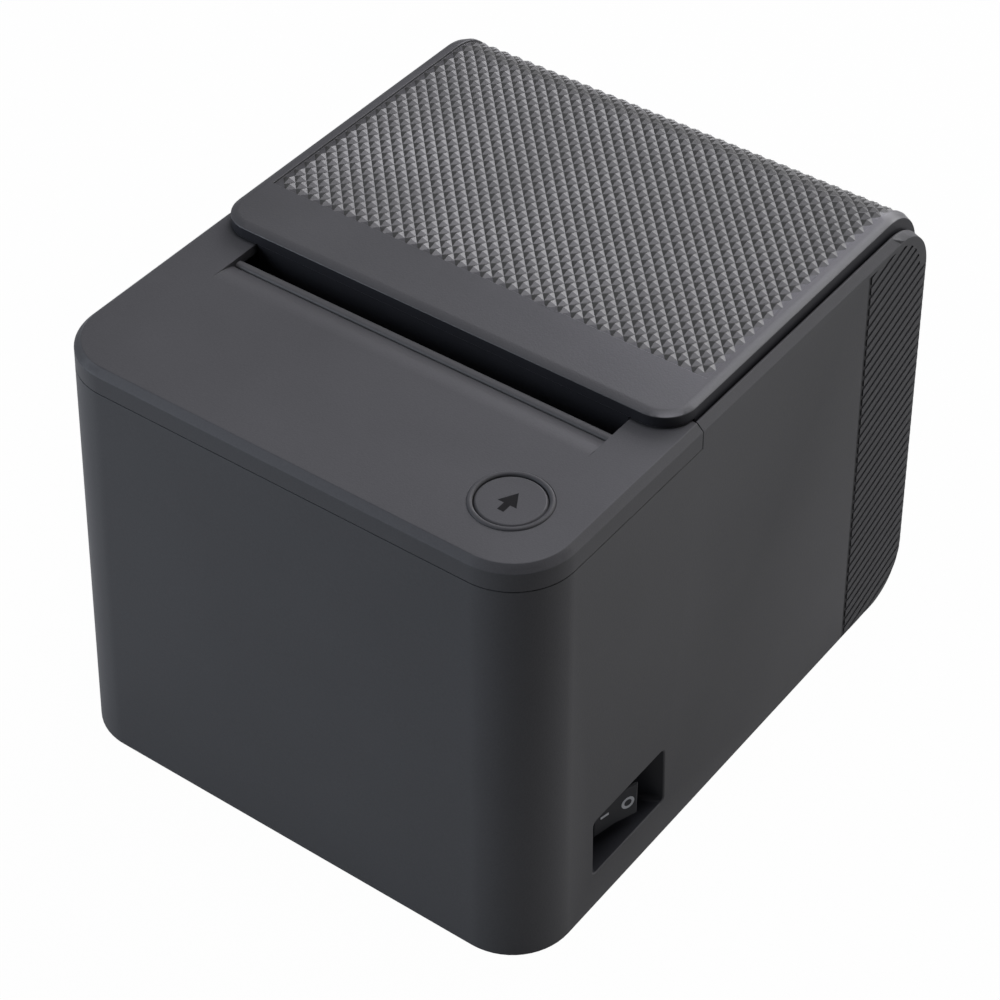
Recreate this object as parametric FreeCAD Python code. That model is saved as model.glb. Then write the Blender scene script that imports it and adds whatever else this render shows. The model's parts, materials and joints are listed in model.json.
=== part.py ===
"""Compact desktop printer for 80 mm receipt paper, built as separate pieces. Units are millimetres.

+X is the printer's right, +Y its back and +Z up. The origin is on the table, under the middle of the casing.
"""
import FreeCAD
import Part
import math
import os
from FreeCAD import Vector

# Casing
base_width = 126.0            # across the sides at the table
top_width = 121.2             # across the sides at the top face
base_depth = 148.8            # front edge to back face at the table
front_lean = 3.0              # how far the front wall leans back over its height
shell_height = 106.5          # casing's bottom edge to its top face
foot_height = 1.5             # casing's bottom edge above the table
wall = 2.0
corner_radius = 14.5          # the two upright front corners
rear_bottom_radius = 12.0
rear_top_radius = 13.8
edge_chamfer = 1.5
seam = 0.35                   # visible parting line
slip = 0.2                    # gap round a piece that drops into another
run_gap = 0.4                 # gap between pieces that move past each other
shaft_gap = 0.03              # radial clearance of a turning shaft

# Top fascia and the paper slot
fascia_depth = 5.95           # parting line below the top face
fascia_back = -13.6           # where the fascia ends on the sides
fascia_skin = 2.4
slot_half = 47.7
ramp_start = -34.5
ramp_end = -27.35
ramp_drop = 1.5
tear_bar_gap = 0.25
tear_bar_thick = 1.9
tear_bar_drop = 0.75          # its top edge below the top face
tear_bar_round = 0.8
tongue_depth = 4.0
tongue_thick = 1.2

# Ribs on the back part of both sides
rib_field = 25.1              # length of the ribbed part, from the back face
rib_border = 1.3              # upright groove in front of the ribs
rib_pitch = 2.727             # from rib to rib, measured upright
rib_groove = 1.05
rib_depth = 0.6
rib_slope = 0.362             # rise of a rib for each millimetre towards the back
rib_stop = 2.8                # plain band between the grooves and the top edge

# Lid
lid_side_gap = 0.45
lid_front = -20.5
lid_overhang = 0.4            # lid's front edge in front of its nose
lid_rise = 3.75               # lid's top face above the casing's top face
lid_skin = 2.2
lid_skirt = 4.5
lid_corner_radius = 7.5
lid_chamfer_wide = 1.85
lid_chamfer_high = 0.8
lid_roll_radius = 13.85
field_side = 2.75             # plain border beside the lid's sunk field
field_front = -5.0
field_depth = 0.6
hinge_back = 5.6              # hinge axis in front of the back face
hinge_drop = 16.8             # hinge axis below the casing's top face
hinge_pin_radius = 1.5
knuckle_radius = 3.4
arm_side = 12.15              # inner face of a hinge arm from the lid's side
arm_width = 5.0
ear_width = 4.0
rear_wall_drop = 12.8         # top of the back wall below the casing's top face
notch_depth = 8.6

# Feed key
key_side = 17.4               # key's middle from the side of the top face
key_behind = 20.8             # key's middle behind the front edge at the table
key_radius = 7.0
key_gap = 0.35
key_ring_width = 1.2
key_ring_lip = 0.8
key_drop = 3.3                # underside of the key's stem below the top face
key_travel = 0.8
tact_side = 6.0
tact_height = 3.1
tact_bore = 1.5
plunger_radius = 1.75
key_board_thick = 1.2
key_screw_radius = 0.9

# Power switch and its recess
recess_front = -50.95
recess_back = -24.55
recess_low = 11.2
recess_high = 27.1
recess_depth = 7.6
recess_lean = 3.9             # how far each end wall leans in over that depth
bezel_length = 15.0
bezel_height = 11.4
bezel_thick = 1.6
switch_depth = 11.0           # switch body behind its panel
switch_inset = 1.0            # panel's hole inside the edge of the bezel
rocker_length = 12.2
rocker_height = 9.4
rocker_rise = 4.3             # middle of the key above its pivot
rocker_tilt = 16.0            # degrees either side of level

# Platen and feed gears
platen_y = -15.5
platen_drop = 10.0            # platen's axis below the blade
platen_radius = 6.0
platen_half = 40.0
shaft_radius = 2.0
bush_radius = 3.5
cheek_gap = 0.6
cheek_thick = 1.8
gear_module = 0.6
gear_width = 2.0
platen_teeth = 22
idler_teeth = 26
pinion_teeth = 12
idler_pin_radius = 1.5
motor_angle = 218.7           # degrees, from the idler to the feed motor
motor_shaft_radius = 1.0
feed_motor_radius = 9.0
feed_motor_length = 20.0
motor_floor_gap = 2.0
backlash = 0.12

# Print head
head_gap = 0.4                # room for paper between head and platen
head_plate = 0.5
sink_thick = 3.0
sink_height = 16.0
head_pin_radius = 1.5
head_pin_ahead = 1.6
spring_ahead = 9.6            # spring plate in front of the heat sink
spring_x = 22.0

# Cutter
blade_drop = 12.0             # underside of the moving blade below the top face
blade_thick = 0.8
blade_half = 40.0
blade_vee = 3.0
blade_length = 32.0
blade_gap = 0.3
blade_travel = 7.5
fixed_blade_thick = 1.0
rack_inset = 4.0
rack_width = 4.0
rack_height = 3.0
cutter_ahead = 10.0           # cutter's shaft in front of the spring plate
cutter_teeth = 32
cutter_pinion_teeth = 12
cutter_shaft_radius = 1.5
cutter_motor_shaft_radius = 0.9
cutter_motor_radius = 7.75
cutter_motor_length = 18.0
guide_thick = 1.0
guide_side = 2.8              # frame's side plate outside the blade's end

# Frame, roll bay and boards
frame_plate = 1.5
frame_ahead = 15.0            # frame's front wall in front of the cutter's shaft
frame_behind = 6.9            # frame's back end behind the platen's axis
front_wall_drop = 8.0         # top of the frame's front wall below the blade
floor_hole_half = 28.0
guide_behind = 2.3            # upright paper guide behind the platen's axis
post_radius = 4.0
screw_radius = 1.25
screw_head_radius = 2.4
screw_head = 1.3
bay_half = 40.8
bay_wall = 1.8
roll_gap = 1.2
bay_rear_gap = 0.6
bay_clear = 9.6               # lowest point of the bay above the main board
bay_rim = 11.0                # bay's front rim below its axis
bay_back_rise = 20.0
bay_cheek_rise = 8.0
sensor_drop = 21.0            # paper sensor below the bay's axis
deck_thick = 2.0
deck_drop = 12.0              # deck's top below the casing's top face
deck_back_gap = 8.0
shelf_width = 5.0
shelf_depth = 8.0
board_thick = 1.6
board_low = 8.0
board_half = 44.0
sockets = dict(               # place across, width and height
    power_inlet=(-33.0, 14.0, 13.0),
    drawer_socket=(-11.0, 13.4, 12.6),
    usb_socket=(9.0, 12.0, 11.0),
    network_socket=(31.0, 16.0, 13.4),
)
mouths = dict(                # width, height and depth of a jack's opening
    drawer_socket=(9.8, 6.8, 10.0),
    network_socket=(11.8, 7.6, 11.0),
)
socket_length = 14.0
socket_proud = 0.8
socket_recess = 12.0          # depth of the cable recess at the back
socket_recess_half = 46.0
plug_room = 7.0               # recess above the tallest socket
panel_thick = 2.0
base_boss_radius = 3.6
base_boss_height = 12.0
head_sink = 0.6               # base screws' seat above the casing's bottom edge
foot_radius = 6.0
foot_pocket = 0.5
holder_thick = 2.0
holder_behind = 33.5          # end of the platen holder behind the platen's axis

# Places that follow from those sizes
y_front = -base_depth / 2
y_rear = base_depth / 2
z_base = foot_height
z_top = foot_height + shell_height
z_seam = z_top - fascia_depth
floor_top = z_base + wall
panel_y = y_rear - socket_recess
lid_top = z_top + lid_rise
lid_half = top_width / 2 - wall - lid_side_gap
arm_inner = lid_half - arm_side
nose_front = lid_front + lid_overhang
hinge_y = y_rear - hinge_back
hinge_z = z_top - hinge_drop
rear_wall_top = z_top - rear_wall_drop
key_x = top_width / 2 - key_side
key_y = y_front + key_behind
key_ring_radius = key_radius + key_gap + key_ring_width
key_bottom = z_top - key_drop
plunger_rise = key_travel + slip
key_board_high = key_bottom - plunger_rise - tact_height
key_post_places = [(key_x + 10.0, key_y - 7.0), (key_x + 10.0, key_y + 7.0)]
blade_low = z_top - blade_drop
guide_top = blade_low + blade_thick + blade_gap + guide_thick
nose_half = slot_half - run_gap
nose_low = blade_low + blade_thick + blade_gap + fixed_blade_thick
tear_front = ramp_end + tear_bar_gap
tear_back = tear_front + tear_bar_thick
blade_edge = tear_back + slip
platen_z = blade_low - platen_drop
cheek_in = max(platen_half, blade_half) + cheek_gap
cheek_out = cheek_in + cheek_thick
plate_in = max(cheek_out + run_gap, blade_half + guide_side)
plate_out = plate_in + frame_plate
gear_in = plate_out + run_gap
gear_out = gear_in + gear_width
idler_y = platen_y
idler_z = platen_z - gear_module * (platen_teeth + idler_teeth) / 2
motor_reach = gear_module * (idler_teeth + pinion_teeth) / 2
motor_y = idler_y + motor_reach * math.cos(math.radians(motor_angle))
motor_z = idler_z + motor_reach * math.sin(math.radians(motor_angle))
head_face = platen_y - platen_radius - head_gap
sink_back = head_face - head_plate
sink_front = sink_back - sink_thick
sink_top = platen_z + 5.5
sink_low = sink_top - sink_height
head_pin_y = sink_front - head_pin_ahead
head_pin_z = sink_low + 1.8
spring_y = sink_front - spring_ahead
spring_z = platen_z + 0.5
rack_x = blade_half - rack_inset
rack_pitch_z = blade_low - rack_height + gear_module
cutter_y = spring_y - cutter_ahead
cutter_z = rack_pitch_z - gear_module * cutter_pinion_teeth / 2
cutter_motor_z = cutter_z - gear_module * (cutter_teeth + cutter_pinion_teeth) / 2
frame_front = cutter_y - frame_ahead
frame_back = platen_y + frame_behind
frame_low = motor_z - feed_motor_radius - motor_floor_gap - frame_plate
board_top = board_low + board_thick
board_front = platen_y + 7.5
bay_front = platen_y + guide_behind
roll_radius = (y_rear - wall - bay_rear_gap - bay_wall - bay_front - roll_gap) / 2
bay_out = bay_half + bay_wall
bay_outer_radius = roll_radius + bay_wall
bay_y = bay_front + roll_gap + roll_radius
bay_z = board_top + bay_clear + bay_outer_radius
deck_top = z_top - deck_drop
deck_front = platen_y + 15.5
deck_back = bay_y + roll_radius - deck_back_gap
socket_recess_high = board_top + max(high for place, wide, high in sockets.values()) + plug_room
base_screw_seat = z_base + head_sink
holder_top = z_top - 2.0


def pairs(*places):
    """Each place on the right, and the same place on the left."""
    return [(side * x, y) for x, y in places for side in (-1, 1)]


base_screw_places = pairs((base_width / 2 - 15.0, y_front + 14.4), (base_width / 2 - 8.0, y_rear - 30.4))
frame_post_places = pairs((plate_in - 6.8, frame_front + 6.0), (plate_in - 6.8, platen_y - 2.5))
board_post_places = pairs((board_half - 4.0, board_front + 5.0), (board_half - 4.0, panel_y - 20.4))
foot_places = pairs((base_width / 2 - 17.0, y_front + 28.4), (base_width / 2 - 17.0, y_rear - 22.4))
holder_screw_places = pairs((30.0, platen_y + 9.5), (30.0, platen_y + 27.5))
shelf_places = [bay_y - 17.0, bay_y + 23.0]


def half_width(z):
    """Outer half width of the casing at height z."""
    flare = (base_width - top_width) / 2
    return base_width / 2 - flare * (z - z_base) / shell_height


def front_at(z):
    """Outer front face of the casing at height z."""
    return y_front + front_lean * (z - z_base) / shell_height


def box(x0, x1, y0, y1, z0, z1):
    return Part.makeBox(x1 - x0, y1 - y0, z1 - z0, Vector(x0, y0, z0))


def rod_x(y, z, radius, x0, x1):
    return Part.makeCylinder(radius, x1 - x0, Vector(x0, y, z), Vector(1, 0, 0))


def rod_y(x, z, radius, y0, y1):
    return Part.makeCylinder(radius, y1 - y0, Vector(x, y0, z), Vector(0, 1, 0))


def rod_z(x, y, radius, z0, z1):
    return Part.makeCylinder(radius, z1 - z0, Vector(x, y, z0), Vector(0, 0, 1))


def plate_x(outline, x0, x1):
    """Plate of a (y, z) outline, from x0 to x1."""
    points = [Vector(x0, y, z) for y, z in outline]
    face = Part.Face(Part.makePolygon(points + points[:1]))
    return face.extrude(Vector(x1 - x0, 0, 0))


def plate_z(outline, z0, z1):
    """Plate of an (x, y) outline, from z0 to z1."""
    points = [Vector(x, y, z0) for x, y in outline]
    face = Part.Face(Part.makePolygon(points + points[:1]))
    return face.extrude(Vector(0, 0, z1 - z0))


def other_side(shape):
    return shape.mirror(Vector(0, 0, 0), Vector(1, 0, 0))


def both_sides(shape):
    return [shape, other_side(shape)]


def fused(shapes):
    whole = shapes[0].fuse(shapes[1:]) if len(shapes) > 1 else shapes[0]
    return whole.removeSplitter()


def round_edges(shape, radius, wanted):
    edges = [e for e in shape.Edges if wanted(e)]
    return shape.makeFillet(radius, edges)


def upright(edge, least):
    a, b = edge.Vertexes[0].Point, edge.Vertexes[-1].Point
    return abs(a.z - b.z) > least


def save(name, shapes):
    shapes = shapes if isinstance(shapes, list) else [shapes]
    solids = [s for shape in shapes for s in shape.Solids]
    whole = solids[0] if len(solids) == 1 else Part.makeCompound(solids)
    whole.exportStep("parts/" + name + ".step")


def case_wire(x, skin, inset):
    """Side outline of the casing, drawn in by skin, with its top edge lowered by inset."""
    low, high = z_base + skin, z_top - skin
    back = y_rear - skin
    bottom_r = rear_bottom_radius - skin
    top_r = rear_top_radius - skin
    arc_r = top_r - inset
    diagonal = math.sqrt(0.5)
    corners = dict(
        front_low=(front_at(low) + skin, low),
        floor_end=(back - bottom_r, low),
        floor_mid=(back - bottom_r + bottom_r * diagonal, low + bottom_r - bottom_r * diagonal),
        back_low=(back, low + bottom_r),
        back_high=(back, high - top_r),
        roof_mid=(back - arc_r + arc_r * diagonal, high - top_r + arc_r * diagonal),
        roof_end=(back - arc_r, high - inset),
        front_high=(front_at(high - inset) + skin, high - inset),
    )
    p = {name: Vector(x, y, z) for name, (y, z) in corners.items()}
    edges = [
        Part.LineSegment(p["front_low"], p["floor_end"]),
        Part.Arc(p["floor_end"], p["floor_mid"], p["back_low"]),
        Part.LineSegment(p["back_low"], p["back_high"]),
        Part.Arc(p["back_high"], p["roof_mid"], p["roof_end"]),
        Part.LineSegment(p["roof_end"], p["front_high"]),
        Part.LineSegment(p["front_high"], p["front_low"]),
    ]
    return Part.Wire([e.toShape() for e in edges])


def case_body(skin):
    """The casing's outer form, or with a skin the room inside it."""
    slab = Part.Face(case_wire(-base_width, skin, 0)).extrude(Vector(2 * base_width, 0, 0))
    low, high = z_base, z_top
    outline = [(-half_width(low) + skin, low), (half_width(low) - skin, low),
               (half_width(high) - skin, high), (-half_width(high) + skin, high)]
    points = [Vector(x, -base_depth, z) for x, z in outline]
    trunk = Part.Face(Part.makePolygon(points + points[:1])).extrude(Vector(0, 2 * base_depth, 0))
    body = slab.common(trunk)
    front = front_at(z_top) + skin + 1
    return round_edges(body, corner_radius - skin,
                       lambda e: upright(e, shell_height / 2) and e.CenterOfMass.y < front)


def chamfered_sides():
    """Room that trims the casing's long top edges, fading out where they turn down the back."""
    inner, outer = top_width / 2 - edge_chamfer, max(base_width, top_width) / 2
    deep = outer - inner
    stations = [(-outer, deep), (-inner, 0), (inner, 0), (outer, deep)]
    return Part.makeLoft([case_wire(x, 0, inset) for x, inset in stations], True, True)


def floor_slab(skin, back, thick):
    """Slab of the room inside the casing, from its front to back, with its top level with the floor's."""
    level = z_base + 2 * wall + skin
    slab = case_body(skin).common(box(-base_width, base_width, y_front, back, level, level + thick))
    slab.translate(Vector(0, 0, floor_top - thick - level))
    return slab


def switch_middle():
    return (recess_front + recess_back) / 2, (recess_low + recess_high) / 2


def switch_panel_x():
    """Outer face of the panel that the power switch is clipped into."""
    return half_width(switch_middle()[1]) - recess_depth


def switch_room(grow):
    """Room of the switch's recess, its two ends leaning in, or grown by a wall the solid round it."""
    inner, outer = switch_panel_x() - grow, base_width
    side = half_width(switch_middle()[1])
    lean_in, lean_out = [recess_lean * (side - x) / recess_depth for x in (inner, outer)]
    outline = [(inner, recess_front + lean_in - grow), (outer, recess_front + lean_out - grow),
               (outer, recess_back - lean_out + grow), (inner, recess_back - lean_in + grow)]
    return plate_z(outline, recess_low - grow, recess_high + grow)


def boss(x, y, z0, z1, radius, pilot):
    return rod_z(x, y, radius, z0, z1).cut(rod_z(x, y, pilot, z0, z1))


def screw_up(x, y, seat, grip):
    """Screw put in from below: its head hangs under seat, its shank reaches grip above it."""
    head = rod_z(x, y, screw_head_radius, seat - screw_head, seat)
    cross = box(x - 1.6, x + 1.6, y - 0.3, y + 0.3, seat - screw_head, seat - screw_head + 0.6)
    cross = cross.fuse(box(x - 0.3, x + 0.3, y - 1.6, y + 1.6, seat - screw_head, seat - screw_head + 0.6))
    return head.cut(cross).fuse(rod_z(x, y, screw_radius, seat, seat + grip))


def screw_down(x, y, seat, grip):
    turned = screw_up(x, y, seat, grip)
    turned.rotate(Vector(x, y, seat), Vector(1, 0, 0), 180)
    return turned


def rib_grooves():
    """Slanted grooves and their upright border, cut into the right side's face."""
    front = y_rear - rib_field
    low, high = z_base, z_top
    section = [(half_width(low) - rib_depth, low), (half_width(low) + 1, low),
               (half_width(high) + 1, high), (half_width(high) - rib_depth, high)]
    points = [Vector(x, front, z) for x, z in section]
    face = Part.Face(Part.makePolygon(points + points[:1])).extrude(Vector(0, rib_field + 1, 0))
    start, end = front + rib_border / 2, y_rear + 1
    rise = rib_slope * (end - start)
    bars = [box(0, base_width, front, front + rib_border, low, high)]
    z = low + rib_pitch - rise
    while z < high:
        top = z + rib_groove
        bars.append(plate_x([(start, z), (end, z + rise), (end, top + rise), (start, top)], 0, base_width))
        z += rib_pitch
    bend_y, bend_z, bend = y_rear - rear_top_radius, z_top - rear_top_radius, rear_top_radius - rib_stop
    low_front, low_back = Vector(0, front - 1, low - 1), Vector(0, end + 1, low - 1)
    ledge_back, ledge = Vector(0, end + 1, bend_z), Vector(0, bend_y + bend, bend_z)
    crown = Vector(0, bend_y + bend * math.sqrt(0.5), bend_z + bend * math.sqrt(0.5))
    bend_end, high_front = Vector(0, bend_y, bend_z + bend), Vector(0, front - 1, bend_z + bend)
    lines = Part.makePolygon([bend_end, high_front, low_front, low_back, ledge_back, ledge]).Edges
    rim = Part.Wire(lines + [Part.Arc(ledge, crown, bend_end).toShape()])
    below_rim = Part.Face(rim).extrude(Vector(base_width, 0, 0))
    return bars[0].fuse(bars[1:]).common(face).common(below_rim)


def socket_block(name, spare):
    x, width, height = sockets[name]
    return box(x - width / 2 - spare, x + width / 2 + spare, panel_y + socket_proud - socket_length,
               panel_y + socket_proud, board_top, board_top + height + spare)


def make_main_housing():
    skin = case_body(0).common(chamfered_sides()).cut(case_body(wall))
    lid_bay = top_width / 2 - wall
    panel_front = panel_y - panel_thick
    cuts = [
        box(-base_width, base_width, -base_depth, fascia_back, z_seam, z_top + 1),
        box(-lid_bay, lid_bay, fascia_back - 1, y_rear - rear_top_radius, z_seam, z_top + 1),
        box(-lid_bay, lid_bay, fascia_back, y_rear + 1, rear_wall_top, z_top + 1),
    ]
    cuts.append(floor_slab(wall, panel_front, wall + 1))
    arm_out = arm_inner + arm_width
    for notch in both_sides(box(arm_inner - 0.6, arm_out + 0.6, y_rear - wall - 1, y_rear + 1,
                                rear_wall_top - notch_depth, z_top)):
        cuts.append(notch)
    half = socket_recess_half
    cuts.append(box(-half, half, panel_y, y_rear + 1, z_base - 1, socket_recess_high))
    mid_y, mid_z = switch_middle()
    panel_x = switch_panel_x()
    recess = round_edges(switch_room(0), 1.2, lambda e: abs(e.tangentAt(e.FirstParameter).x) > 0.7)
    cuts.append(recess)
    skin = skin.cut(cuts)

    # The cable recess at the back, with one opening for each socket
    pocket = box(-half - wall, half + wall, panel_front, y_rear - wall / 2, floor_top,
                 socket_recess_high + wall)
    bay_room = rod_x(bay_y, bay_z, bay_outer_radius + run_gap, -half - wall, half + wall)
    pocket = pocket.common(case_body(wall / 2)).cut(bay_room)
    pocket = pocket.cut(box(-half, half, panel_y, y_rear, z_base, socket_recess_high))
    pocket = pocket.cut([socket_block(name, slip) for name in sockets])
    pocket = pocket.cut(box(-half, half, panel_front - 1, panel_y + 1, floor_top - 1, board_top))

    # The recess for the power switch
    lining = switch_room(wall).common(case_body(wall / 2))
    hole_l, hole_h = bezel_length / 2 - switch_inset, bezel_height / 2 - switch_inset
    hole = box(panel_x - wall - 1, panel_x + 1, mid_y - hole_l, mid_y + hole_l,
               mid_z - hole_h, mid_z + hole_h)
    lining = lining.cut([recess, hole])

    # Ears for the hinge pin, shelves for the roll bay's deck, bosses for the base screws
    ear_in = arm_inner + arm_width + run_gap
    ear = fused([rod_x(hinge_y, hinge_z, knuckle_radius, ear_in, ear_in + ear_width),
                 box(ear_in, ear_in + ear_width, hinge_y, y_rear - wall / 2, hinge_z - knuckle_radius,
                     rear_wall_top)])
    ear = ear.cut(rod_x(hinge_y, hinge_z, hinge_pin_radius, ear_in, ear_in + ear_width))
    added = [pocket, lining] + both_sides(ear)
    shelf_top = deck_top - deck_thick
    for y in shelf_places:
        reach = half_width(shelf_top) - wall / 2
        added += both_sides(box(bay_out + 8, reach, y, y + shelf_width, shelf_top - shelf_depth, shelf_top))
    for x, y in base_screw_places:
        post = rod_z(x, y, base_boss_radius, floor_top, floor_top + base_boss_height)
        side = 1 if x > 0 else -1
        x0, x1 = sorted((x, side * (half_width(floor_top) - wall / 2)))
        web = box(x0, x1, y - 1, y + 1, floor_top, floor_top + base_boss_height)
        post = post.fuse(web.common(case_body(wall / 2)))
        added.append(post.cut(rod_z(x, y, screw_radius, floor_top, floor_top + base_boss_height)))
    return fused([skin] + added).cut(both_sides(rib_grooves()))


def make_base_plate():
    plate = floor_slab(wall + slip, panel_y - panel_thick - slip, wall)
    plate = plate.cut([rod_z(x, y, foot_radius + slip, z_base, z_base + foot_pocket)
                       for x, y in foot_places])
    for x, y in base_screw_places:
        plate = plate.cut(rod_z(x, y, screw_head_radius + slip, z_base, base_screw_seat))
        plate = plate.cut(rod_z(x, y, screw_radius, z_base, floor_top))
    posts = [boss(x, y, floor_top, frame_low, post_radius, screw_radius) for x, y in frame_post_places]
    posts += [boss(x, y, floor_top, board_low, post_radius - 1, screw_radius) for x, y in board_post_places]
    ribs = []
    for x, y in frame_post_places:
        rib = plate_x([(y - 9, floor_top), (y + 9, floor_top), (y, frame_low - 12)], x - 0.8, x + 0.8)
        ribs.append(rib.cut(rod_z(x, y, post_radius / 2, floor_top, frame_low)))
    return fused([plate] + posts + ribs)


def make_feet():
    feet = []
    for x, y in foot_places:
        foot = rod_z(x, y, foot_radius, 0, z_base + foot_pocket)
        rim = [e for e in foot.Edges if e.CenterOfMass.z < 0.01 and e.Length > foot_radius]
        feet.append(foot.makeChamfer(0.4, rim))
    return feet


def make_fascia():
    region = box(-base_width, base_width, -base_depth, fascia_back - seam, z_seam + seam, z_top + 1)
    cover = case_body(0).common(region)
    cover = cover.makeChamfer(edge_chamfer, [e for e in cover.Edges if e.CenterOfMass.z > z_top - 0.01
                                             and e.CenterOfMass.y < fascia_back - seam - 0.01])
    inside = case_body(fascia_skin).common(box(-base_width, base_width, -base_depth, y_rear, z_base,
                                               z_top - fascia_skin))
    cover = cover.cut(inside)
    low, high = z_seam - tongue_depth, z_seam + seam + 2
    rim = case_body(wall + slip).cut(case_body(wall + slip + tongue_thick))
    rim = rim.common(box(-base_width, base_width, -base_depth, fascia_back - seam, low, high))
    cover = cover.fuse(rim)

    # The mouth of the paper slot, with its rolled lead-in
    mouth = box(-slot_half, slot_half, ramp_end, fascia_back, z_seam - tongue_depth, z_top + 1)
    run = ramp_end - ramp_start
    roll = (run ** 2 + ramp_drop ** 2) / (2 * ramp_drop)
    over = box(-slot_half, slot_half, ramp_start, ramp_end + 1, z_top - ramp_drop - 1, z_top + 1)
    over = over.cut(rod_x(ramp_start, z_top - roll, roll, -slot_half, slot_half))
    under = box(-slot_half, slot_half, ramp_start, ramp_end, z_top - ramp_drop - fascia_skin, z_top)
    under = under.common(rod_x(ramp_start, z_top - roll, roll, -slot_half, slot_half))
    under = under.cut(rod_x(ramp_start, z_top - roll, roll - fascia_skin, -slot_half, slot_half))
    cover = cover.fuse(under).cut([mouth, over])

    # The hole for the key's ring, and the two posts that carry the key's board
    cover = cover.cut(rod_z(key_x, key_y, key_ring_radius, z_seam, z_top + 1))
    roof = z_top - fascia_skin
    cover = cover.fuse([boss(x, y, key_board_high, roof, 2.4, key_screw_radius) for x, y in key_post_places])
    return cover.removeSplitter()


def make_key_ring():
    top, under = z_top + 0.35, z_top - fascia_skin
    ring = rod_z(key_x, key_y, key_ring_radius, under, top)
    ring = ring.makeChamfer(0.3, [e for e in ring.Edges if abs(e.CenterOfMass.z - top) < 0.01])
    lip = rod_z(key_x, key_y, key_ring_radius + key_ring_lip, under - key_ring_lip, under)
    hole = rod_z(key_x, key_y, key_radius + key_gap, under - key_ring_lip, top)
    return ring.fuse(lip).cut(hole).removeSplitter()


def make_feed_key():
    top = z_top + 0.1
    cap = rod_z(key_x, key_y, key_radius, z_top - fascia_skin, top)
    cap = cap.makeChamfer(0.4, [e for e in cap.Edges if abs(e.CenterOfMass.z - top) < 0.01])
    stem = rod_z(key_x, key_y, 2.0, key_bottom, z_top - fascia_skin)
    return cap.fuse(stem).removeSplitter()


def make_key_board():
    low, high = key_board_high - key_board_thick, key_board_high
    board = box(key_x - 4.4, key_x + 12.0, key_y - 8.2, key_y + 9.4, low, high)
    return board.cut([rod_z(x, y, key_screw_radius, low, high) for x, y in key_post_places])


def make_tact_switch():
    high = key_board_high
    side = tact_side / 2
    body = box(key_x - side, key_x + side, key_y - side, key_y + side, high, high + tact_height)
    bore_low = high + tact_height - tact_bore
    return body.cut(rod_z(key_x, key_y, plunger_radius + shaft_gap, bore_low, high + tact_height))


def make_tact_plunger():
    bore_low = key_board_high + tact_height - tact_bore
    return rod_z(key_x, key_y, plunger_radius, bore_low + plunger_rise, key_bottom)


def make_key_board_screws():
    seat = key_board_high - key_board_thick
    screws = []
    for x, y in key_post_places:
        shank = rod_z(x, y, key_screw_radius, seat, seat + key_board_thick + 4)
        screws.append(rod_z(x, y, 1.7, seat - 0.9, seat).fuse(shank))
    return screws


def rocker_turn(shape):
    """Turn a level rocker to the pressed position, with its rear end standing out."""
    mid_y, mid_z = switch_middle()
    pivot = Vector(rocker_pivot_x(), mid_y, mid_z)
    shape.rotate(pivot, Vector(0, 0, 1), -rocker_tilt)
    return shape


def rocker_pivot_x():
    return switch_panel_x() + 0.6


def make_switch_body():
    mid_y, mid_z = switch_middle()
    panel_x = switch_panel_x()
    half_l, half_h = bezel_length / 2, bezel_height / 2
    face = panel_x + bezel_thick
    bezel = box(panel_x, face, mid_y - half_l, mid_y + half_l, mid_z - half_h, mid_z + half_h)
    bezel = bezel.makeChamfer(0.5, [e for e in bezel.Edges if e.CenterOfMass.x > face - 0.01])
    body_l, body_h = half_l - switch_inset - 0.05, half_h - switch_inset - 0.05
    back = panel_x - switch_depth
    body = box(back, panel_x, mid_y - body_l, mid_y + body_l, mid_z - body_h, mid_z + body_h)
    key_l, key_h = rocker_length / 2 + 0.25, rocker_height / 2 + 0.2
    well = box(panel_x - 0.1, face + 1, mid_y - key_l, mid_y + key_l, mid_z - key_h, mid_z + key_h)
    low_l, low_h = body_l - 0.8, body_h - 0.9
    deep = box(panel_x - 6, panel_x, mid_y - low_l, mid_y + low_l, mid_z - low_h, mid_z + low_h)
    pins = rod_z(rocker_pivot_x(), mid_y, 0.9 + shaft_gap, mid_z - low_h - 0.6, mid_z + low_h + 0.6)
    return bezel.fuse(body).cut([well, deep, pins]).removeSplitter()


def make_rocker():
    mid_y, mid_z = switch_middle()
    x0 = rocker_pivot_x()
    half, edge = rocker_length / 2, 0.4
    upper = [(x0 + rocker_rise + edge, mid_y - half), (x0 + rocker_rise, mid_y),
             (x0 + rocker_rise + edge, mid_y + half), (x0 + 2.3, mid_y + half - 0.5),
             (x0 + 1.5, mid_y + 2.5), (x0 + 1.5, mid_y - 2.5), (x0 + 2.3, mid_y - half + 0.5)]
    key = plate_z(upper, mid_z - rocker_height / 2, mid_z + rocker_height / 2)
    key = key.makeFillet(0.4, [e for e in key.Edges if e.CenterOfMass.x > x0 + rocker_rise + 0.05])
    low_h = bezel_height / 2 - switch_inset - 0.05 - 0.9 - 0.3
    hub = rod_z(x0, mid_y, 2.0, mid_z - low_h, mid_z + low_h)
    neck = box(x0, x0 + 1.6, mid_y - 2, mid_y + 2, mid_z - low_h, mid_z + low_h)
    pins = rod_z(x0, mid_y, 0.9, mid_z - low_h - 0.8, mid_z + low_h + 0.8)
    return rocker_turn(key.fuse([hub, neck, pins]).removeSplitter())


def make_switch_terminals():
    mid_y, mid_z = switch_middle()
    back = switch_panel_x() - switch_depth
    return [box(back - 7, back, y - 0.4, y + 0.4, mid_z - 2.4, mid_z + 2.4) for y in (mid_y - 3, mid_y + 3)]


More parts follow.
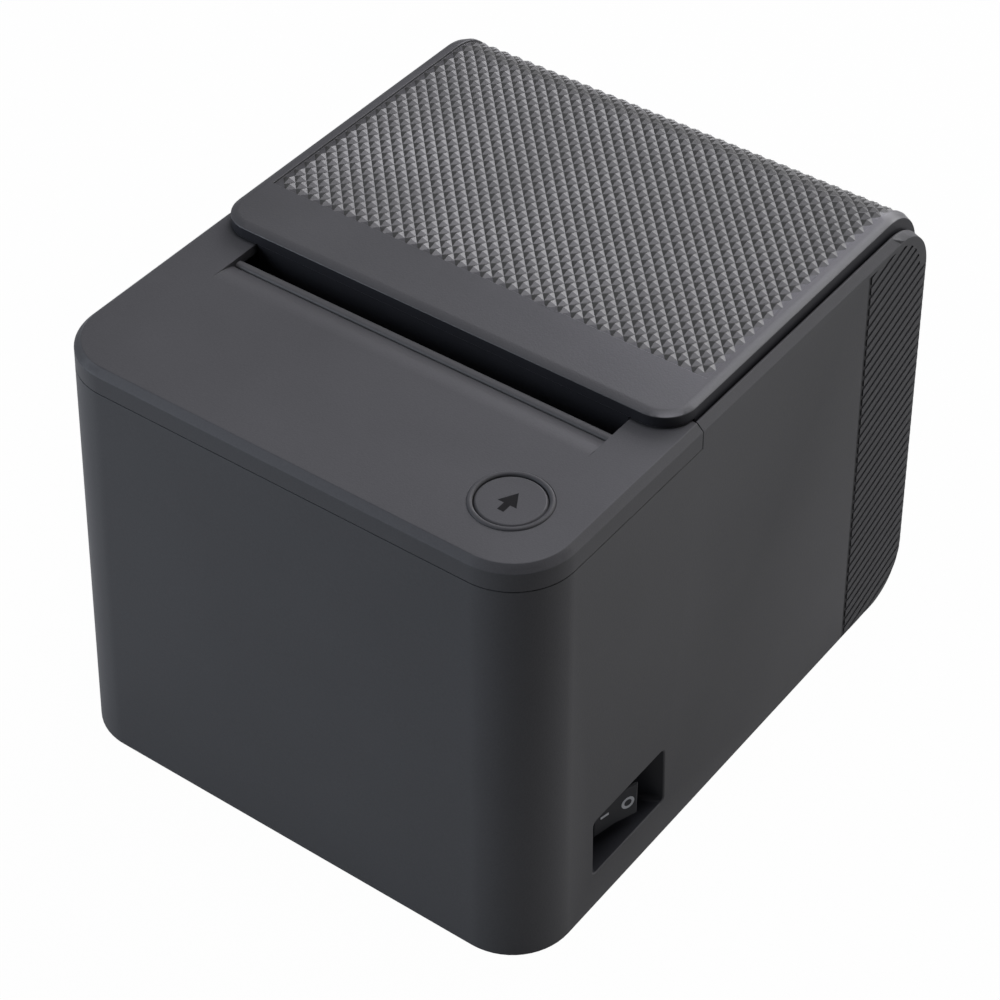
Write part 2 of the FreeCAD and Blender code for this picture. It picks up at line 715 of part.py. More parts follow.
def lid_strip(depth_out, depth_in, front):
    """Side outline of the lid between two depths below its skin, from front round the rear roll."""
    centre_y, centre_z = y_rear - lid_roll_radius, lid_top - lid_roll_radius
    outer, inner = lid_roll_radius - depth_out, lid_roll_radius - depth_in
    diagonal = math.sqrt(0.5)

    def on_roll(radius, share):
        return Vector(0, centre_y + radius * share, centre_z + radius * math.sqrt(1 - share ** 2))

    edges = [
        Part.LineSegment(Vector(0, front, lid_top - depth_in), Vector(0, front, lid_top - depth_out)),
        Part.LineSegment(Vector(0, front, lid_top - depth_out), on_roll(outer, 0)),
        Part.Arc(on_roll(outer, 0), on_roll(outer, diagonal), on_roll(outer, 1)),
        Part.LineSegment(on_roll(outer, 1), on_roll(inner, 1)),
        Part.Arc(on_roll(inner, 1), on_roll(inner, diagonal), on_roll(inner, 0)),
        Part.LineSegment(on_roll(inner, 0), Vector(0, front, lid_top - depth_in)),
    ]
    return Part.Face(Part.Wire([e.toShape() for e in edges]))


def make_paper_cover():
    strip = lid_strip(0, lid_skirt, lid_front)
    strip.translate(Vector(-lid_half, 0, 0))
    slab = strip.extrude(Vector(2 * lid_half, 0, 0))
    slab = round_edges(slab, lid_corner_radius,
                       lambda e: upright(e, 1) and e.CenterOfMass.y < lid_front + 0.01)
    roll_start = y_rear - lid_roll_radius
    top_edges = [e for e in slab.Edges if e.CenterOfMass.z > lid_top - 0.01 and len(e.Vertexes) == 2
                 and abs(e.CenterOfMass.y - roll_start) > 0.01]
    roll_length = lid_roll_radius * math.pi / 2
    top_edges += [e for e in slab.Edges if e.CenterOfMass.y > roll_start
                  and abs(e.Length - roll_length) < 0.01]
    slab = slab.makeChamfer(lid_chamfer_high, lid_chamfer_wide, top_edges)
    hollow = lid_strip(lid_skin, lid_skirt + 1, lid_front + lid_skin)
    hollow.translate(Vector(-lid_half + wall, 0, 0))
    hollow = hollow.extrude(Vector(2 * (lid_half - wall), 0, 0))
    hollow = round_edges(hollow, lid_corner_radius - wall,
                         lambda e: upright(e, 1) and e.CenterOfMass.y < lid_front + lid_skin + 0.01)
    past_end = box(-lid_half + wall, lid_half - wall, y_rear - lid_skirt - 2, y_rear - lid_skin,
                   lid_top - lid_roll_radius - 1, lid_top - lid_roll_radius + 1)
    shell = slab.cut([hollow, past_end])
    over_fascia = box(-base_width, base_width, lid_front - 1, fascia_back + run_gap, z_seam, z_top + run_gap)
    swing = math.hypot(hinge_back, rear_wall_top - hinge_z) + run_gap
    sweep = rod_x(hinge_y, hinge_z, swing, -lid_half, lid_half)
    field = lid_strip(-1, field_depth, field_front)
    field.translate(Vector(field_side - lid_half, 0, 0))
    field = field.extrude(Vector(2 * (lid_half - field_side), 0, 0))
    shell = shell.cut([over_fascia, sweep, field])
    nose = box(-nose_half, nose_half, nose_front, nose_front + wall, nose_low, lid_top - lid_skin)
    underside = lid_top - lid_skin
    bosses = [boss(x, y, holder_top, underside + 0.5, 3.0, screw_radius) for x, y in holder_screw_places]
    arm_out = arm_inner + arm_width
    roll_y, roll_z = y_rear - lid_roll_radius, lid_top - lid_roll_radius
    middle = lid_roll_radius - lid_skin / 2
    arm = plate_x([(hinge_y - knuckle_radius, hinge_z), (hinge_y + knuckle_radius, hinge_z),
                   (hinge_y + knuckle_radius, roll_z + 1.5),
                   (roll_y + middle * 0.72, roll_z + middle * 0.69),
                   (hinge_y - knuckle_radius, roll_z + middle * 0.9)], arm_inner, arm_out)
    arm = arm.fuse(rod_x(hinge_y, hinge_z, knuckle_radius, arm_inner, arm_out))
    arm = arm.cut(rod_x(hinge_y, hinge_z, hinge_pin_radius + shaft_gap, arm_inner, arm_out))
    return fused([shell, nose] + bosses + both_sides(arm))


def make_platen_holder():
    low = holder_top - holder_thick
    front = nose_front + wall + slip
    plate = box(-cheek_out, cheek_out, front, platen_y + holder_behind, low, holder_top)
    plate = plate.cut([rod_z(x, y, screw_radius, low, holder_top) for x, y in holder_screw_places])
    web = box(-cheek_out, cheek_out, front, front + 2, nose_low, low)
    flange = box(-cheek_out, cheek_out, front, platen_y + 5, nose_low, nose_low + 1.5)
    ribs = [box(x - 0.8, x + 0.8, front + 2, platen_y + 5, nose_low + 1.5, low)
            for x in (-24.0, -8.0, 8.0, 24.0)]
    round_end = bush_radius + 1.7
    cheek = plate_x([(platen_y - round_end, platen_z), (front, nose_low), (front, low),
                     (platen_y + 21.5, low), (platen_y + round_end, platen_z)], cheek_in, cheek_out)
    cheek = cheek.fuse(rod_x(platen_y, platen_z, round_end, cheek_in, cheek_out))
    cheek = cheek.cut(rod_x(platen_y, platen_z, bush_radius, cheek_in, cheek_out))
    return fused([plate, web, flange] + ribs + both_sides(cheek))


def make_fixed_blade():
    low = nose_low - fixed_blade_thick
    front = nose_front - 0.8
    blade = box(-blade_half, blade_half, front, platen_y + 5, low, nose_low)
    edge = plate_x([(front, nose_low), (front, low + 0.3), (front + 1.2, nose_low)], -blade_half, blade_half)
    return blade.cut(edge)


def gear(teeth, y, z, x0, x1, bore, turn):
    """Spur gear along X. One tooth points along turn, in degrees from +Y towards +Z."""
    pitch_r = gear_module * teeth / 2
    pressure = math.radians(20)
    base_r = pitch_r * math.cos(pressure)
    radii = [pitch_r - 1.25 * gear_module, base_r, pitch_r, pitch_r + 0.92 * gear_module]

    def involute(radius):
        angle = math.acos(min(1.0, base_r / radius))
        return math.tan(angle) - angle

    def half_angle(radius):
        at_pitch = math.pi / (2 * teeth) - backlash / (2 * pitch_r)
        return at_pitch + involute(pitch_r) - involute(max(radius, base_r))

    outline = []
    for tooth in range(teeth):
        middle = math.radians(turn) + 2 * math.pi * tooth / teeth
        flank = [(r, middle - half_angle(r)) for r in radii]
        flank += [(r, middle + half_angle(r)) for r in radii[::-1]]
        outline += [(y + r * math.cos(a), z + r * math.sin(a)) for r, a in flank]
    return plate_x(outline, x0, x1).cut(rod_x(y, z, bore, x0, x1))


def meshing_turn(turn, teeth, angle, next_teeth):
    """Turn of a gear that meshes with another gear lying at angle from it."""
    step = 360.0 / teeth
    ahead = (turn - angle) % step
    return angle + 180 - ahead * teeth / next_teeth + 180.0 / next_teeth


platen_turn = 270.0
idler_turn = meshing_turn(platen_turn, platen_teeth, 270.0, idler_teeth)
pinion_turn = meshing_turn(idler_turn, idler_teeth, motor_angle, pinion_teeth)
cutter_gear_turn = 270.0
cutter_motor_turn = meshing_turn(cutter_gear_turn, cutter_teeth, 270.0, cutter_pinion_teeth)


def make_platen_roller():
    tube = rod_x(platen_y, platen_z, platen_radius, -platen_half, platen_half)
    return tube.cut(rod_x(platen_y, platen_z, shaft_radius, -platen_half, platen_half))


def make_platen_shaft():
    return rod_x(platen_y, platen_z, shaft_radius, -plate_out, gear_out)


def make_platen_bushes():
    bush = rod_x(platen_y, platen_z, bush_radius, cheek_in, plate_out)
    bush = bush.cut(rod_x(platen_y, platen_z, shaft_radius + shaft_gap, cheek_in, plate_out))
    return both_sides(bush)


def make_platen_gear():
    return gear(platen_teeth, platen_y, platen_z, gear_in, gear_out, shaft_radius, platen_turn)


def make_idler_gear():
    return gear(idler_teeth, idler_y, idler_z, gear_in, gear_out, idler_pin_radius + shaft_gap, idler_turn)


def make_idler_pin():
    pin = rod_x(idler_y, idler_z, idler_pin_radius, plate_in, gear_out + 0.3)
    return pin.fuse(rod_x(idler_y, idler_z, idler_pin_radius + 1, gear_out + 0.3, gear_out + 1.1))


def make_feed_motor():
    can = rod_x(motor_y, motor_z, feed_motor_radius, plate_in - feed_motor_length, plate_in)
    can = can.makeChamfer(0.6, [e for e in can.Edges if len(e.Vertexes) == 1])
    side = feed_motor_radius - 0.5
    flange = plate_x([(motor_y - 6, motor_z - side), (motor_y + 6, motor_z - side), (motor_y + side, motor_z),
                      (motor_y - side, motor_z)], plate_in - 0.8, plate_in)
    bore = rod_x(motor_y, motor_z, motor_shaft_radius + shaft_gap, plate_in - feed_motor_length + 4, plate_in)
    return can.fuse(flange).cut(bore)


def make_feed_motor_shaft():
    return rod_x(motor_y, motor_z, motor_shaft_radius, plate_in - feed_motor_length + 4.3, gear_out + 0.4)


def make_feed_pinion():
    return gear(pinion_teeth, motor_y, motor_z, gear_in, gear_out, motor_shaft_radius, pinion_turn)


def make_thermal_head():
    return box(-platen_half, platen_half, sink_back, head_face, platen_z - 6, platen_z + 5)


def make_heat_sink():
    sink = box(-platen_half, platen_half, sink_front, sink_back, sink_low, sink_top)
    lugs = []
    for x in (-30.0, 0.0, 30.0):
        lug = rod_x(head_pin_y, head_pin_z, head_pin_radius + 0.9, x - 4, x + 4)
        foot = box(x - 4, x + 4, head_pin_y, sink_front, head_pin_z - 1.2, head_pin_z + 2.8)
        lugs.append(lug.fuse(foot))
    sink = fused([sink] + lugs)
    return sink.cut(rod_x(head_pin_y, head_pin_z, head_pin_radius + shaft_gap, -platen_half, platen_half))


def make_head_pivot_pin():
    return rod_x(head_pin_y, head_pin_z, head_pin_radius, -plate_out, plate_out)


def make_head_springs():
    """Two flat springs, bent from strip, from the frame's cross plate to the back of the heat sink."""
    springs = []
    for x in (-spring_x, spring_x):
        path = Part.makePolygon([Vector(x - 4, spring_y, spring_z - 7), Vector(x - 4, spring_y, spring_z - 2),
                                 Vector(x - 4, sink_front - 0.4, spring_z + 3.4)])
        strip = path.makeOffset2D(0.35, fill=True, openResult=True, join=2)
        springs.append(strip.extrude(Vector(8, 0, 0)))
    return springs


def make_mechanism_frame():
    step_y = tear_back - slip
    high = blade_low + 1.0
    rim = platen_z + bush_radius
    outline = [(frame_front, frame_low), (frame_back, frame_low), (frame_back, rim), (step_y + 2, rim),
               (step_y, high), (frame_front, high)]
    side = plate_x(outline, plate_in, plate_out)
    seat = bush_radius + run_gap
    side = side.cut(rod_x(platen_y, platen_z, seat, plate_in, plate_out))
    side = side.cut(box(plate_in, plate_out, platen_y - seat, platen_y + seat, platen_z, rim + 1))
    side = side.cut(rod_x(head_pin_y, head_pin_z, head_pin_radius, plate_in, plate_out))
    side = side.cut(rod_x(cutter_y, cutter_z, cutter_shaft_radius + shaft_gap, plate_in, plate_out))
    left, right = other_side(side), side
    right = right.cut(rod_x(idler_y, idler_z, idler_pin_radius, plate_in, plate_out))
    right = right.cut(rod_x(motor_y, motor_z, motor_shaft_radius + 1, plate_in, plate_out))
    left = left.cut(rod_x(cutter_y, cutter_motor_z, cutter_motor_shaft_radius + 1, -plate_out, -plate_in))

    # Cross plates: floor with a large opening, front wall, spring plate and the bent paper guide
    floor_high = frame_low + frame_plate
    floor = box(-plate_out, plate_out, frame_front, bay_front, frame_low, floor_high)
    hole = box(-floor_hole_half, floor_hole_half, frame_front + 13, platen_y - 11.5, frame_low, floor_high)
    floor = floor.cut([hole] + [rod_z(x, y, screw_radius, frame_low, floor_high)
                                for x, y in frame_post_places])
    front = box(-plate_in, plate_in, frame_front, frame_front + frame_plate, frame_low,
                blade_low - front_wall_drop)
    cross = box(-plate_in, plate_in, spring_y - frame_plate, spring_y, spring_z - 9, spring_z + 3.5)
    knee = platen_z - 17
    path = Part.makePolygon([Vector(-plate_in, bay_front, frame_low), Vector(-plate_in, bay_front, knee),
                             Vector(-plate_in, platen_y - 5.5, platen_z - 7)])
    guide = path.makeOffset2D(-1.0, fill=True, openResult=True, join=2)
    if guide.BoundBox.YMax > bay_front + 0.01:
        guide = path.makeOffset2D(1.0, fill=True, openResult=True, join=2)
    guide = guide.extrude(Vector(2 * plate_in, 0, 0))
    return fused([floor, left, right, front, cross, guide])


def make_tear_bar():
    high = z_top - tear_bar_drop
    bar = box(-slot_half + slip, slot_half - slip, tear_front, tear_back, guide_top, high)
    ends = [e for e in bar.Edges if e.CenterOfMass.z > high - 0.01 and e.Length > slot_half]
    return bar.makeFillet(tear_bar_round, ends)


def make_cutter_guide():
    half = plate_in - slip
    back, front = tear_back - slip, frame_front + 1.0
    top = box(-half, half, front, back, guide_top - guide_thick, guide_top)
    rail_low = blade_low - blade_gap - guide_thick
    web = box(half - guide_thick, half, front, back, rail_low, guide_top)
    lip = box(blade_half - 1.0, half, front, back, rail_low, rail_low + guide_thick)
    return fused([top] + both_sides(web.fuse(lip)))


def make_moving_blade():
    tail = blade_edge - blade_length
    outline = [(-blade_half, tail), (blade_half, tail), (blade_half, blade_edge),
               (0, blade_edge - blade_vee), (-blade_half, blade_edge)]
    return plate_z(outline, blade_low, blade_low + blade_thick)


def make_blade_racks():
    pitch = math.pi * gear_module
    low = blade_low - rack_height
    root = low + 2.25 * gear_module
    tip_half, root_half = pitch / 4 - 0.36 * gear_module, pitch / 4 + 0.45 * gear_module
    first = -math.ceil((blade_travel + 4) / pitch)
    start = cutter_y + (first - 0.5) * pitch
    end = cutter_y + 3.5 * pitch
    outline = [(start, blade_low), (start, root)]
    for tooth in range(first, 3):
        middle = cutter_y + (tooth + 0.5) * pitch
        outline += [(middle - root_half, root), (middle - tip_half, low), (middle + tip_half, low),
                    (middle + root_half, root)]
    outline += [(end, root), (end, blade_low)]
    return both_sides(plate_x(outline, rack_x - rack_width / 2, rack_x + rack_width / 2))


def make_cutter_shaft():
    return rod_x(cutter_y, cutter_z, cutter_shaft_radius, -gear_out, plate_out + 0.6)


def make_cutter_pinions():
    pinion = gear(cutter_pinion_teeth, cutter_y, cutter_z, rack_x - rack_width / 2, rack_x + rack_width / 2,
                  cutter_shaft_radius, 90.0)
    return both_sides(pinion)


def make_cutter_gear():
    return gear(cutter_teeth, cutter_y, cutter_z, -gear_out, -gear_in, cutter_shaft_radius, cutter_gear_turn)


def make_cutter_motor():
    flat = cutter_motor_radius - 1.7
    can = rod_x(cutter_y, cutter_motor_z, cutter_motor_radius, -plate_in, -plate_in + cutter_motor_length)
    can = can.common(box(-plate_in, 0, cutter_y - flat, cutter_y + flat, 0, z_top))
    bore = rod_x(cutter_y, cutter_motor_z, cutter_motor_shaft_radius + shaft_gap, -plate_in,
                 -plate_in + cutter_motor_length - 4)
    return can.cut(bore)


def make_cutter_motor_shaft():
    return rod_x(cutter_y, cutter_motor_z, cutter_motor_shaft_radius, -gear_out - 0.4,
                 -plate_in + cutter_motor_length - 4.3)


def make_cutter_motor_pinion():
    return gear(cutter_pinion_teeth, cutter_y, cutter_motor_z, -gear_out, -gear_in, cutter_motor_shaft_radius,
                cutter_motor_turn)


def make_paper_bucket():
    outer = rod_x(bay_y, bay_z, bay_outer_radius, -bay_out, bay_out)
    rim = bay_z - bay_rim
    reach = 2 * roll_radius
    trough = outer.common(box(-bay_out, bay_out, bay_y - reach, bay_y + reach, 0, rim))
    rear_half = outer.common(box(-bay_out, bay_out, bay_y, y_rear, 0, bay_z))
    rear_rise = box(-bay_out, bay_out, bay_y, bay_y + bay_outer_radius, bay_z, bay_z + bay_back_rise)
    sides = box(-bay_out, bay_out, deck_front, deck_back, rim - 1, deck_top)
    cheeks = outer.common(box(-bay_out, bay_out, frame_back + run_gap, bay_y, rim, bay_z + bay_cheek_rise))
    mass = fused([trough, rear_half, rear_rise, sides, cheeks])
    hollow = rod_x(bay_y, bay_z, roll_radius, -bay_half, bay_half)
    above = box(-bay_half, bay_half, bay_y - roll_radius, bay_y + roll_radius, bay_z, deck_top + 1)
    mouth = box(-bay_half, bay_half, bay_y - reach, bay_y, rim, deck_top + 1)
    mass = mass.cut([hollow, above, mouth])
    deck_half = half_width(deck_top) - wall - slip
    deck = box(bay_out - 0.5, deck_half, deck_front, deck_back, deck_top - deck_thick, deck_top)
    middle = bay_z - sensor_drop
    window = box(bay_half - 1, bay_out + 1, bay_y - 3, bay_y + 3, middle - 3, middle + 3)
    return fused([mass] + both_sides(deck)).cut(window)


def make_paper_sensor():
    middle = bay_z - sensor_drop
    body = box(bay_out, bay_out + 4, bay_y - 5, bay_y + 5, middle - 5, middle + 5)
    eye = box(bay_half + 0.3, bay_out, bay_y - 2.8, bay_y + 2.8, middle - 2.8, middle + 2.8)
    return body.fuse(eye).removeSplitter()


def make_main_board():
    board = box(-board_half, board_half, board_front, panel_y - panel_thick - slip, board_low, board_top)
    return board.cut([rod_z(x, y, screw_radius, board_low, board_top) for x, y in board_post_places])


def make_board_parts():
    y = board_front + 18.0
    chips = [box(x - side / 2, x + side / 2, y - side / 2, y + side / 2, board_top, board_top + 1.5)
             for x, side in ((-27.0, 8.0), (-1.0, 14.0), (21.0, 10.0))]
    capacitors = [rod_z(x, board_front + 6.0, 4.0, board_top, board_top + 8) for x in (-30.0, -20.0, 24.0)]
    return chips + capacitors


def make_power_inlet():
    x, width, height = sockets["power_inlet"]
    middle = board_top + height / 2
    hole = rod_y(x, middle, 4.8, panel_y + socket_proud - 9, panel_y + socket_proud)
    pins = [rod_y(x + dx, middle + dz, 0.6, panel_y + socket_proud - 9, panel_y - 2)
            for dx, dz in ((-2.4, 0.8), (2.4, 0.8), (0.0, -2.4))]
    return fused([socket_block("power_inlet", 0).cut(hole)] + pins)


def make_jack(name):
    """Telephone style jack: a square mouth with a narrower slot for the plug's latch."""
    x = sockets[name][0]
    mouth_width, mouth_height, depth = mouths[name]
    face = panel_y + socket_proud
    low = board_top + 1.2
    mouth = box(x - mouth_width / 2, x + mouth_width / 2, face - depth, face, low + 1.6,
                low + 1.6 + mouth_height)
    latch = box(x - 2, x + 2, face - depth + 2, face, low, low + 1.6)
    return socket_block(name, 0).cut([mouth, latch])


def make_usb_socket():
    x, width, height = sockets["usb_socket"]
    face = panel_y + socket_proud
    shell = socket_block("usb_socket", 0)
    mouth = box(x - 4.3, x + 4.3, face - 9, face, board_top + 1.4, board_top + height - 1.4)
    mouth = mouth.makeChamfer(1.8, [e for e in mouth.Edges if e.CenterOfMass.z > board_top + height - 1.5
                                    and abs(e.tangentAt(e.FirstParameter).y) > 0.9])
    middle = board_top + height / 2
    tongue = box(x - 2.8, x + 2.8, face - 9, face - 1, middle - 1.5, middle + 1.5)
    return fused([shell.cut(mouth), tongue])


def make_hinge_pin():
    reach = arm_inner + arm_width + run_gap + ear_width
    return rod_x(hinge_y, hinge_z, hinge_pin_radius, -reach, reach)


def main():
    os.makedirs("parts", exist_ok=True)
    save("main_housing", make_main_housing())
    save("base_plate", make_base_plate())
    save("rubber_feet", make_feet())
    save("base_screws", [screw_up(x, y, base_screw_seat, 10) for x, y in base_screw_places])
    save("top_fascia", make_fascia())
    save("tear_bar", make_tear_bar())
    save("key_ring", make_key_ring())
    save("feed_key", make_feed_key())
    save("key_board", make_key_board())
    save("key_board_screws", make_key_board_screws())
    save("tact_switch", make_tact_switch())
    save("tact_plunger", make_tact_plunger())
    save("switch_body", make_switch_body())
    save("rocker", make_rocker())
    save("switch_terminals", make_switch_terminals())
    save("paper_cover", make_paper_cover())
    save("platen_holder", make_platen_holder())
    save("holder_screws", [screw_up(x, y, holder_top - holder_thick, 5) for x, y in holder_screw_places])
    save("fixed_blade", make_fixed_blade())
    save("hinge_pin", make_hinge_pin())
    save("platen_roller", make_platen_roller())
    save("platen_shaft", make_platen_shaft())
    save("platen_bushes", make_platen_bushes())
    save("platen_gear", make_platen_gear())
    save("idler_gear", make_idler_gear())
    save("idler_pin", make_idler_pin())
    save("feed_motor", make_feed_motor())
    save("feed_motor_shaft", make_feed_motor_shaft())
    save("feed_pinion", make_feed_pinion())
    save("thermal_head", make_thermal_head())
    save("heat_sink", make_heat_sink())
    save("head_pivot_pin", make_head_pivot_pin())
    save("head_springs", make_head_springs())
    save("mechanism_frame", make_mechanism_frame())
    save("mechanism_screws", [screw_down(x, y, frame_low + frame_plate, 9) for x, y in frame_post_places])
    save("cutter_guide", make_cutter_guide())
    save("moving_blade", make_moving_blade())
    save("blade_racks", make_blade_racks())
    save("cutter_shaft", make_cutter_shaft())
    save("cutter_pinions", make_cutter_pinions())
    save("cutter_gear", make_cutter_gear())
    save("cutter_motor", make_cutter_motor())
    save("cutter_motor_shaft", make_cutter_motor_shaft())
    save("cutter_motor_pinion", make_cutter_motor_pinion())
    save("paper_bucket", make_paper_bucket())
    save("paper_sensor", make_paper_sensor())
    save("main_board", make_main_board())
    save("board_parts", make_board_parts())
    save("board_screws", [screw_down(x, y, board_top, 4) for x, y in board_post_places])
    save("power_inlet", make_power_inlet())
    save("drawer_socket", make_jack("drawer_socket"))
    save("usb_socket", make_usb_socket())
    save("network_socket", make_jack("network_socket"))


main()
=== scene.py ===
"""Looks of a compact desktop receipt printer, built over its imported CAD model. Lengths are in metres."""
import json
import math
import bmesh
import bpy
from mathutils import Matrix, Vector


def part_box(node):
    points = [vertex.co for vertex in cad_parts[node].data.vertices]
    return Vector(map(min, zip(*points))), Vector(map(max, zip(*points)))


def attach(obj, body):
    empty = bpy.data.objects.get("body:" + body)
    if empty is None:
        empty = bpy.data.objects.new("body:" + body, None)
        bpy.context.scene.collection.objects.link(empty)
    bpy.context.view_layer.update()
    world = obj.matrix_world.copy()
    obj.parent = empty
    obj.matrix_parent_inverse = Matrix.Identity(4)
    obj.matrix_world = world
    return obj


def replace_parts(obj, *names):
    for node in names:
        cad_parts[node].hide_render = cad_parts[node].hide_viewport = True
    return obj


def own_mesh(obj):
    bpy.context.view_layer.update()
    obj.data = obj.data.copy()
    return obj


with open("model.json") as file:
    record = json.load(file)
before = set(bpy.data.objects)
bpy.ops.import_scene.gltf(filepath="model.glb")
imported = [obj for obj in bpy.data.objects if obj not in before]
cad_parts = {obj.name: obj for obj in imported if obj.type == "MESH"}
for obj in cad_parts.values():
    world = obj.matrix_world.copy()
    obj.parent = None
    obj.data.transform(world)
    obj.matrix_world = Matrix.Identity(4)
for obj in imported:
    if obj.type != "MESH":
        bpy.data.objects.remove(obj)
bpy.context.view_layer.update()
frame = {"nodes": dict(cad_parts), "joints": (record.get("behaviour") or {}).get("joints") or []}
nodes = frame["nodes"]

# Base plate: the floor of the casing, moulded in the same dark grey ABS as the shell.
# It is held by four screws from below and stands on four rubber feet.
MM = 0.001
cloud_scale = 38
cloud_tone = 0.045
cloud_sheen = 0.04
grain_tone = 0.05
edge_light = 0.14
edge_polish = 0.1


def new_group(name, inputs, outputs):
    """A shader node group with named sockets, and its two end nodes."""
    group = bpy.data.node_groups.new(name, "ShaderNodeTree")
    for label, kind in inputs:
        group.interface.new_socket(label, in_out="INPUT", socket_type="NodeSocket" + kind)
    for label, kind in outputs:
        group.interface.new_socket(label, in_out="OUTPUT", socket_type="NodeSocket" + kind)
    return group, group.nodes.new("NodeGroupInput"), group.nodes.new("NodeGroupOutput")


def noise(tree, vector, detail, scale=None):
    """A noise node on a vector socket. Without a scale, its Scale input is left for a link."""
    node = tree.nodes.new("ShaderNodeTexNoise")
    node.inputs["Detail"].default_value = detail
    tree.links.new(vector, node.inputs["Vector"])
    if scale:
        node.inputs["Scale"].default_value = scale
    return node


def spread(tree, value, low, high):
    """The middle of a noise value's range, stretched to run from low to high."""
    node = tree.nodes.new("ShaderNodeMapRange")
    node.inputs["From Min"].default_value = 0.3
    node.inputs["From Max"].default_value = 0.7
    node.inputs["To Min"].default_value = low
    node.inputs["To Max"].default_value = high
    tree.links.new(value, node.inputs["Value"])
    return node.outputs["Result"]


def maths(tree, operation, first, second):
    """The result of a maths node whose two inputs are sockets or plain numbers."""
    node = tree.nodes.new("ShaderNodeMath")
    node.operation = operation
    for socket, value in zip(node.inputs, (first, second)):
        if isinstance(value, (int, float)):
            socket.default_value = value
        else:
            tree.links.new(value, socket)
    return node.outputs["Value"]


moulded_skin, given, made = new_group(
    "moulded_skin",
    [("Vector", "Vector"), ("Colour", "Color"), ("Roughness", "Float"), ("Grain", "Float")],
    [("Colour", "Color"), ("Roughness", "Float"), ("Height", "Float")])
spark = noise(moulded_skin, given.outputs["Vector"], detail=2)
moulded_skin.links.new(given.outputs["Grain"], spark.inputs["Scale"])
cloud = noise(moulded_skin, given.outputs["Vector"], detail=4, scale=cloud_scale)
shade = moulded_skin.nodes.new("ShaderNodeHueSaturation")
moulded_skin.links.new(given.outputs["Colour"], shade.inputs["Color"])
cloud_value = spread(moulded_skin, cloud.outputs["Fac"], 1 - cloud_tone, 1 + cloud_tone)
grain_value = spread(moulded_skin, spark.outputs["Fac"], -grain_tone, grain_tone)
moulded_skin.links.new(maths(moulded_skin, "ADD", cloud_value, grain_value), shade.inputs["Value"])
moulded_skin.links.new(shade.outputs["Color"], made.inputs["Colour"])
cloud_rough = spread(moulded_skin, cloud.outputs["Fac"], -cloud_sheen, cloud_sheen)
sheen = maths(moulded_skin, "ADD", cloud_rough, given.outputs["Roughness"])
moulded_skin.links.new(sheen, made.inputs["Roughness"])
moulded_skin.links.new(spark.outputs["Fac"], made.inputs["Height"])

worn_edge, given, made = new_group(
    "worn_edge",
    [("Colour", "Color"), ("Roughness", "Float"), ("Edge", "Float")],
    [("Colour", "Color"), ("Roughness", "Float")])
polish = worn_edge.nodes.new("ShaderNodeHueSaturation")
worn_edge.links.new(given.outputs["Colour"], polish.inputs["Color"])
gain = maths(worn_edge, "MULTIPLY", given.outputs["Edge"], edge_light)
worn_edge.links.new(maths(worn_edge, "ADD", gain, 1.0), polish.inputs["Value"])
worn_edge.links.new(polish.outputs["Color"], made.inputs["Colour"])
rubbed = maths(worn_edge, "MULTIPLY", given.outputs["Edge"], edge_polish)
smoother = maths(worn_edge, "SUBTRACT", given.outputs["Roughness"], rubbed)
worn_edge.links.new(smoother, made.inputs["Roughness"])


def srgb(code):
    """A colour written as six hex digits, as the linear values that a shader takes."""
    parts = [int(code[i:i + 2], 16) / 255 for i in (0, 2, 4)]
    return tuple(p / 12.92 if p <= 0.04045 else ((p + 0.055) / 1.055) ** 2.4 for p in parts) + (1.0,)


def bare_material(name):
    """A new material, its tree, its shader and the place on the piece."""
    material = bpy.data.materials.new(name)
    material.use_nodes = True
    tree = material.node_tree
    place = tree.nodes.new("ShaderNodeTexCoord").outputs["Object"]
    return material, tree, tree.nodes["Principled BSDF"], place


def bump(tree, height, depth, shader):
    """Roughens a shader's normal by a height value, to a depth in metres."""
    node = tree.nodes.new("ShaderNodeBump")
    node.inputs["Strength"].default_value = 1.0
    node.inputs["Distance"].default_value = depth
    tree.links.new(height, node.inputs["Height"])
    tree.links.new(node.outputs["Normal"], shader.inputs["Normal"])


def moulded(name, colour, rough, grain, depth, gloss=0.3):
    """Moulded plastic: spark eroded grain, faint clouding and edges rubbed smoother than the faces."""
    material, tree, shader, place = bare_material(name)
    skin = tree.nodes.new("ShaderNodeGroup")
    skin.node_tree = moulded_skin
    skin.inputs["Colour"].default_value = srgb(colour)
    skin.inputs["Roughness"].default_value = rough
    skin.inputs["Grain"].default_value = grain
    tree.links.new(place, skin.inputs["Vector"])
    edge = tree.nodes.new("ShaderNodeAttribute")
    edge.attribute_name = "edge"
    wear = tree.nodes.new("ShaderNodeGroup")
    wear.node_tree = worn_edge
    tree.links.new(skin.outputs["Colour"], wear.inputs["Colour"])
    tree.links.new(skin.outputs["Roughness"], wear.inputs["Roughness"])
    tree.links.new(edge.outputs["Fac"], wear.inputs["Edge"])
    tree.links.new(wear.outputs["Colour"], shader.inputs["Base Color"])
    tree.links.new(wear.outputs["Roughness"], shader.inputs["Roughness"])
    shader.inputs["Specular IOR Level"].default_value = gloss
    bump(tree, skin.outputs["Height"], depth, shader)
    return material


def paint(material, *names):
    """Gives a material to CAD nodes that are shown as they are."""
    for name in names:
        nodes[name].data.materials.clear()
        nodes[name].data.materials.append(material)


case_plastic = moulded("case_plastic", "464647", rough=0.55, grain=2600, depth=0.02 * MM, gloss=0.2)
paint(case_plastic, "base_plate")

